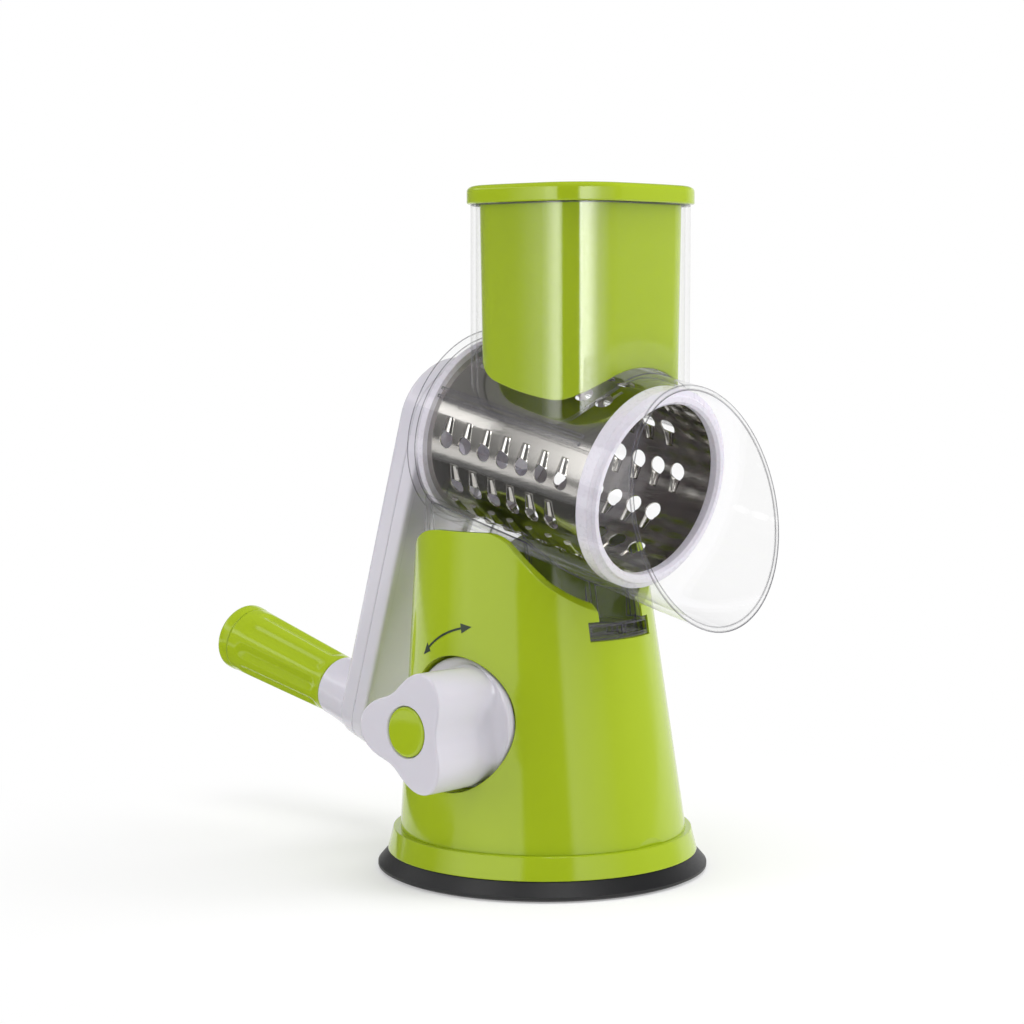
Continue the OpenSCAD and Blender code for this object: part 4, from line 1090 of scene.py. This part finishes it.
@dataclass
class Studio:
    """Camera, floor, lamps, world, and the softboxes and flags that only reflections see."""

    focal_px: float = 2442.0
    far: float = 860.0
    bearing: float = 47.24
    height: float = 201.0
    pitch: float = 4.53
    yaw: float = 0.72
    middle_y: float = 492.5
    picture: int = 1024
    film_mm: float = 36.0
    aim_z: float = 0.13
    floor_half: float = 6.0
    floor_z: float = -0.0002
    # Distances between which the shadow fades out on the floor, and the share of plain white at the near one
    shadow_fades: tuple[float, float] = (0.05, 0.26)
    shadow_white: float = 0.35
    sky: float = 0.52
    floor_flag_z: float = 0.0006
    flag_z: float = 0.76
    flag_half: float = 0.8
    ring_steps: int = 180
    # Brightness at the upper edge of a ring
    ring_end: float = 0.15
    # Brightness of the rings at azimuths in degrees from +X
    high_tones: tuple[tuple[float, float], ...] = (
        (0, 0.5), (60, 0.3), (90, 0.3), (102, 1.8), (142, 1.8), (160, 1.0), (182, 0.6), (186, 0.2), (219, 0.2),
        (223, 1.2), (250, 0.8), (290, 0.3), (335, 0.3), (360, 0.5))
    low_tones: tuple[tuple[float, float], ...] = (
        (0, 0.9), (55, 0.9), (75, 0.2), (136, 0.15), (158, 1.3), (207, 1.3), (209.5, 0.1), (244, 0.1),
        (248, 1.5), (290, 0.4), (335, 0.4), (350, 0.9), (360, 0.9))
    near_tones: tuple[tuple[float, float], ...] = (
        (0, 0.2), (146, 0.2), (162, 2.0), (171, 3.4), (188, 3.4), (190.7, 0.1), (223, 0.1), (225.5, 6.5),
        (238, 6.0), (257, 1.5), (283, 0.3), (360, 0.3))

    def camera(self) -> None:
        """Sets the camera at the photograph's place."""
        t, h = math.radians(self.bearing), math.radians(self.bearing - self.yaw)
        p = math.radians(self.pitch)
        place = Vector((-self.far * math.sin(t), -self.far * math.cos(t), self.height)) * MM
        level = Vector((math.sin(h), math.cos(h), 0))
        right = Vector((level.y, -level.x, 0))
        ahead = level * math.cos(p) - Vector((0, 0, 1)) * math.sin(p)
        up = right.cross(ahead)
        data = bpy.data.cameras.new("photo_camera")
        data.sensor_width, data.sensor_fit = self.film_mm, "HORIZONTAL"
        data.lens = self.film_mm * self.focal_px / self.picture
        data.shift_y = (self.middle_y - self.picture / 2) / self.picture
        data.clip_start, data.clip_end = 0.05, 30.0
        made = linked("photo_camera", data)
        turn = Matrix((right, up, -ahead)).transposed().to_4x4()
        made.matrix_world = Matrix.Translation(place) @ turn
        bpy.context.scene.camera = made

    def lamp(self, name: str, azimuth: float, far: float, height: float, size: tuple[float, float],
             power: float) -> None:
        """Adds a softbox that faces the object.

        Args:
            name: Name of the lamp.
            azimuth: Direction from the object, in degrees from +X.
            far: Distance in metres.
            height: Height in metres.
            size: Width and height in metres.
            power: Power in watts.
        """
        data = bpy.data.lights.new(name, "AREA")
        data.shape, data.size, data.size_y, data.energy = "RECTANGLE", size[0], size[1], power
        made = linked(name, data)
        a = math.radians(azimuth)
        made.location = (far * math.cos(a), far * math.sin(a), height)
        made.rotation_euler = (Vector((0, 0, self.aim_z)) - made.location).to_track_quat("-Z", "Y").to_euler()
        made.visible_glossy = False

    def reflected_only(self, name: str, mesh: bpy.types.Mesh, look: bpy.types.Material) -> None:
        """Adds a studio surface that only glossy reflections see."""
        mesh.materials.append(look)
        made = linked(name, mesh)
        for way in ("camera", "diffuse", "transmission", "volume_scatter", "shadow"):
            setattr(made, "visible_" + way, False)

    def tent(self, name: str, far: float, low: float, high: float, tones: Sequence[tuple[float, float]],
             fade_from: float, arc: tuple[float, float] = (0.0, 360.0)) -> None:
        """Adds a ring of softboxes and dark flags round the object.

        Args:
            name: Name of the ring.
            far: Radius in metres.
            low: Lower edge in metres.
            high: Upper edge in metres.
            tones: Brightness at azimuths in degrees from +X, in order.
            fade_from: Height over which the ring grows dark, in metres.
            arc: Azimuths between which the ring stands.
        """
        steps = self.ring_steps
        mesh = bpy.data.meshes.new(name)
        turns = [math.radians(arc[0] + (arc[1] - arc[0]) * i / steps) for i in range(steps + 1)]
        rings = [[(far * math.cos(a), far * math.sin(a), z) for a in turns] for z in (low, high)]
        faces = [(i, i + 1, steps + i + 2, steps + i + 1) for i in range(steps)]
        mesh.from_pydata(rings[0] + rings[1], [], faces)
        look, tree = new_material(name)
        place = add_node(tree, "ShaderNodeSeparateXYZ",
                         links={0: add_node(tree, "ShaderNodeTexCoord").outputs["Object"]}).outputs
        back = [add_node(tree, "ShaderNodeMath", {"operation": "MULTIPLY"}, {1: -1.0}, {0: place[axis]})
                for axis in ("Y", "X")]
        angle = add_node(tree, "ShaderNodeMath", {"operation": "ARCTAN2"},
                         links={0: back[0].outputs[0], 1: back[1].outputs[0]})
        share = add_node(tree, "ShaderNodeMapRange", values={"From Min": -math.pi, "From Max": math.pi},
                         links={"Value": angle.outputs[0]})
        ramp = add_node(tree, "ShaderNodeValToRGB", links={"Fac": share.outputs["Result"]})
        peak = max(tone for _, tone in tones)
        stops = ramp.color_ramp.elements
        for i, (azimuth, tone) in enumerate(tones):
            stop = stops[i] if i < 2 else stops.new(azimuth / 360)
            stop.position, stop.color = azimuth / 360, (tone / peak, tone / peak, tone / peak, 1.0)
        fade = add_node(tree, "ShaderNodeMapRange",
                        values={"From Min": fade_from, "From Max": high, "To Min": peak,
                                "To Max": self.ring_end}, links={"Value": place["Z"]})
        glow = add_node(tree, "ShaderNodeEmission",
                        links={"Color": ramp.outputs["Color"], "Strength": fade.outputs["Result"]})
        add_node(tree, "ShaderNodeOutputMaterial", links={"Surface": glow.outputs[0]})
        self.reflected_only(name, mesh, look)

    def flag(self, name: str, corners: Sequence[tuple[float, float, float]], tone: float) -> None:
        """Adds a flat four-cornered flag of one tone."""
        mesh = bpy.data.meshes.new(name)
        mesh.from_pydata(list(corners), [], [(0, 1, 2, 3)])
        look, tree = new_material(name)
        glow = add_node(tree, "ShaderNodeEmission", values={"Color": linear("#FFFFFF"), "Strength": tone})
        add_node(tree, "ShaderNodeOutputMaterial", links={"Surface": glow.outputs[0]})
        self.reflected_only(name, mesh, look)

    def sector(self, from_az: float, to_az: float, near: float, far: float) -> list[tuple[float, float, float]]:
        """Corners of a patch on the floor between two azimuths and two distances."""
        z = self.floor_flag_z
        return [(r * math.cos(math.radians(a)), r * math.sin(math.radians(a)), z)
                for a, r in ((from_az, near), (from_az, far), (to_az, far), (to_az, near))]

    def floor(self) -> None:
        """Adds the white floor, which keeps the object's shadow near its foot."""
        mesh = bpy.data.meshes.new("floor")
        s, z = self.floor_half, self.floor_z
        mesh.from_pydata([(-s, -s, z), (s, -s, z), (s, s, z), (-s, s, z)], [], [(0, 1, 2, 3)])
        look, tree = new_material("floor_paper")
        path = add_node(tree, "ShaderNodeLightPath").outputs
        seen = path["Is Camera Ray"]
        for way in ("Is Glossy Ray", "Is Transmission Ray"):
            either = add_node(tree, "ShaderNodeMath", {"operation": "MAXIMUM"}, links={0: seen, 1: path[way]})
            seen = either.outputs[0]
        away = add_node(tree, "ShaderNodeVectorMath", {"operation": "LENGTH"},
                        links={0: add_node(tree, "ShaderNodeTexCoord").outputs["Object"]}).outputs["Value"]
        share = add_node(tree, "ShaderNodeMapRange", {"interpolation_type": "SMOOTHSTEP"},
                         {"From Min": self.shadow_fades[0], "From Max": self.shadow_fades[1],
                          "To Min": self.shadow_white, "To Max": 1.0}, {"Value": away})
        paper = add_node(tree, "ShaderNodeBsdfDiffuse", values={"Color": linear("#F2F2F2")}).outputs[0]
        glow = add_node(tree, "ShaderNodeEmission", values={"Color": linear("#FFFFFF"), "Strength": 1.0})
        near = add_node(tree, "ShaderNodeMixShader",
                        links={0: share.outputs["Result"], 1: paper, 2: glow.outputs[0]})
        shown = add_node(tree, "ShaderNodeMixShader", links={0: seen, 1: paper, 2: near.outputs[0]})
        add_node(tree, "ShaderNodeOutputMaterial", links={"Surface": shown.outputs[0]})
        mesh.materials.append(look)
        linked("floor", mesh)

    def world(self) -> None:
        """White to the camera, to reflections and through clear plastic; a plain level for the rest."""
        made = bpy.data.worlds.new("studio")
        bpy.context.scene.world = made
        made.use_nodes = True
        tree = made.node_tree
        tree.nodes.clear()
        path = add_node(tree, "ShaderNodeLightPath")
        first = add_node(tree, "ShaderNodeMath", {"operation": "MAXIMUM"},
                         links={0: path.outputs["Is Camera Ray"], 1: path.outputs["Is Transmission Ray"]})
        white = add_node(tree, "ShaderNodeMath", {"operation": "MAXIMUM"},
                         links={0: first.outputs[0], 1: path.outputs["Is Glossy Ray"]})
        level = add_node(tree, "ShaderNodeMapRange", values={"To Min": self.sky, "To Max": 1.0},
                         links={"Value": white.outputs[0]})
        sky = add_node(tree, "ShaderNodeBackground", values={"Color": linear("#FFFFFF")},
                       links={"Strength": level.outputs["Result"]})
        add_node(tree, "ShaderNodeOutputWorld", links={"Surface": sky.outputs[0]})

    def build(self) -> None:
        """Builds the studio."""
        self.camera()
        self.floor()
        self.world()
        self.lamp("key_right", azimuth=318, far=1.5, height=0.75, size=(0.9, 1.1), power=16)
        self.lamp("fill_left", azimuth=150, far=1.6, height=0.55, size=(0.7, 1.1), power=7)
        self.lamp("top", azimuth=250, far=0.35, height=1.7, size=(1.0, 1.0), power=13)
        self.tent("softbox_ring_high", far=1.5, low=0.66, high=1.25, tones=self.high_tones, fade_from=0.80)
        self.tent("softbox_ring_low", far=1.5, low=0.001, high=0.66, tones=self.low_tones, fade_from=0.659)
        self.tent("softbox_near_chute", far=0.2, low=0.153, high=0.30, tones=self.near_tones, fade_from=0.299,
                  arc=(146, 290))
        s, z = self.flag_half, self.flag_z
        self.flag("flag_top", [(-s, -s, z), (s, -s, z), (s, s, z), (-s, s, z)], tone=0.22)
        self.flag("flag_floor_left", self.sector(from_az=84, to_az=152, near=0.19, far=0.60), tone=0.08)
        self.flag("flag_floor_front", self.sector(from_az=204, to_az=247, near=0.12, far=0.40), tone=0.12)
        bpy.context.scene.view_settings.view_transform = "Standard"
        LOG.info("studio ready")


def main() -> None:
    """Builds every sub-assembly in order."""
    logging.basicConfig(level=logging.INFO, format="%(name)s: %(message)s")
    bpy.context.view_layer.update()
    finish = Finish()
    for part in (Base(), Feed(), Knob(), Crank(), Pusher(), Screws()):
        part.build(finish)
        LOG.info("%s done", type(part).__name__)
    Studio().build()


if __name__ == "__main__":
    main()
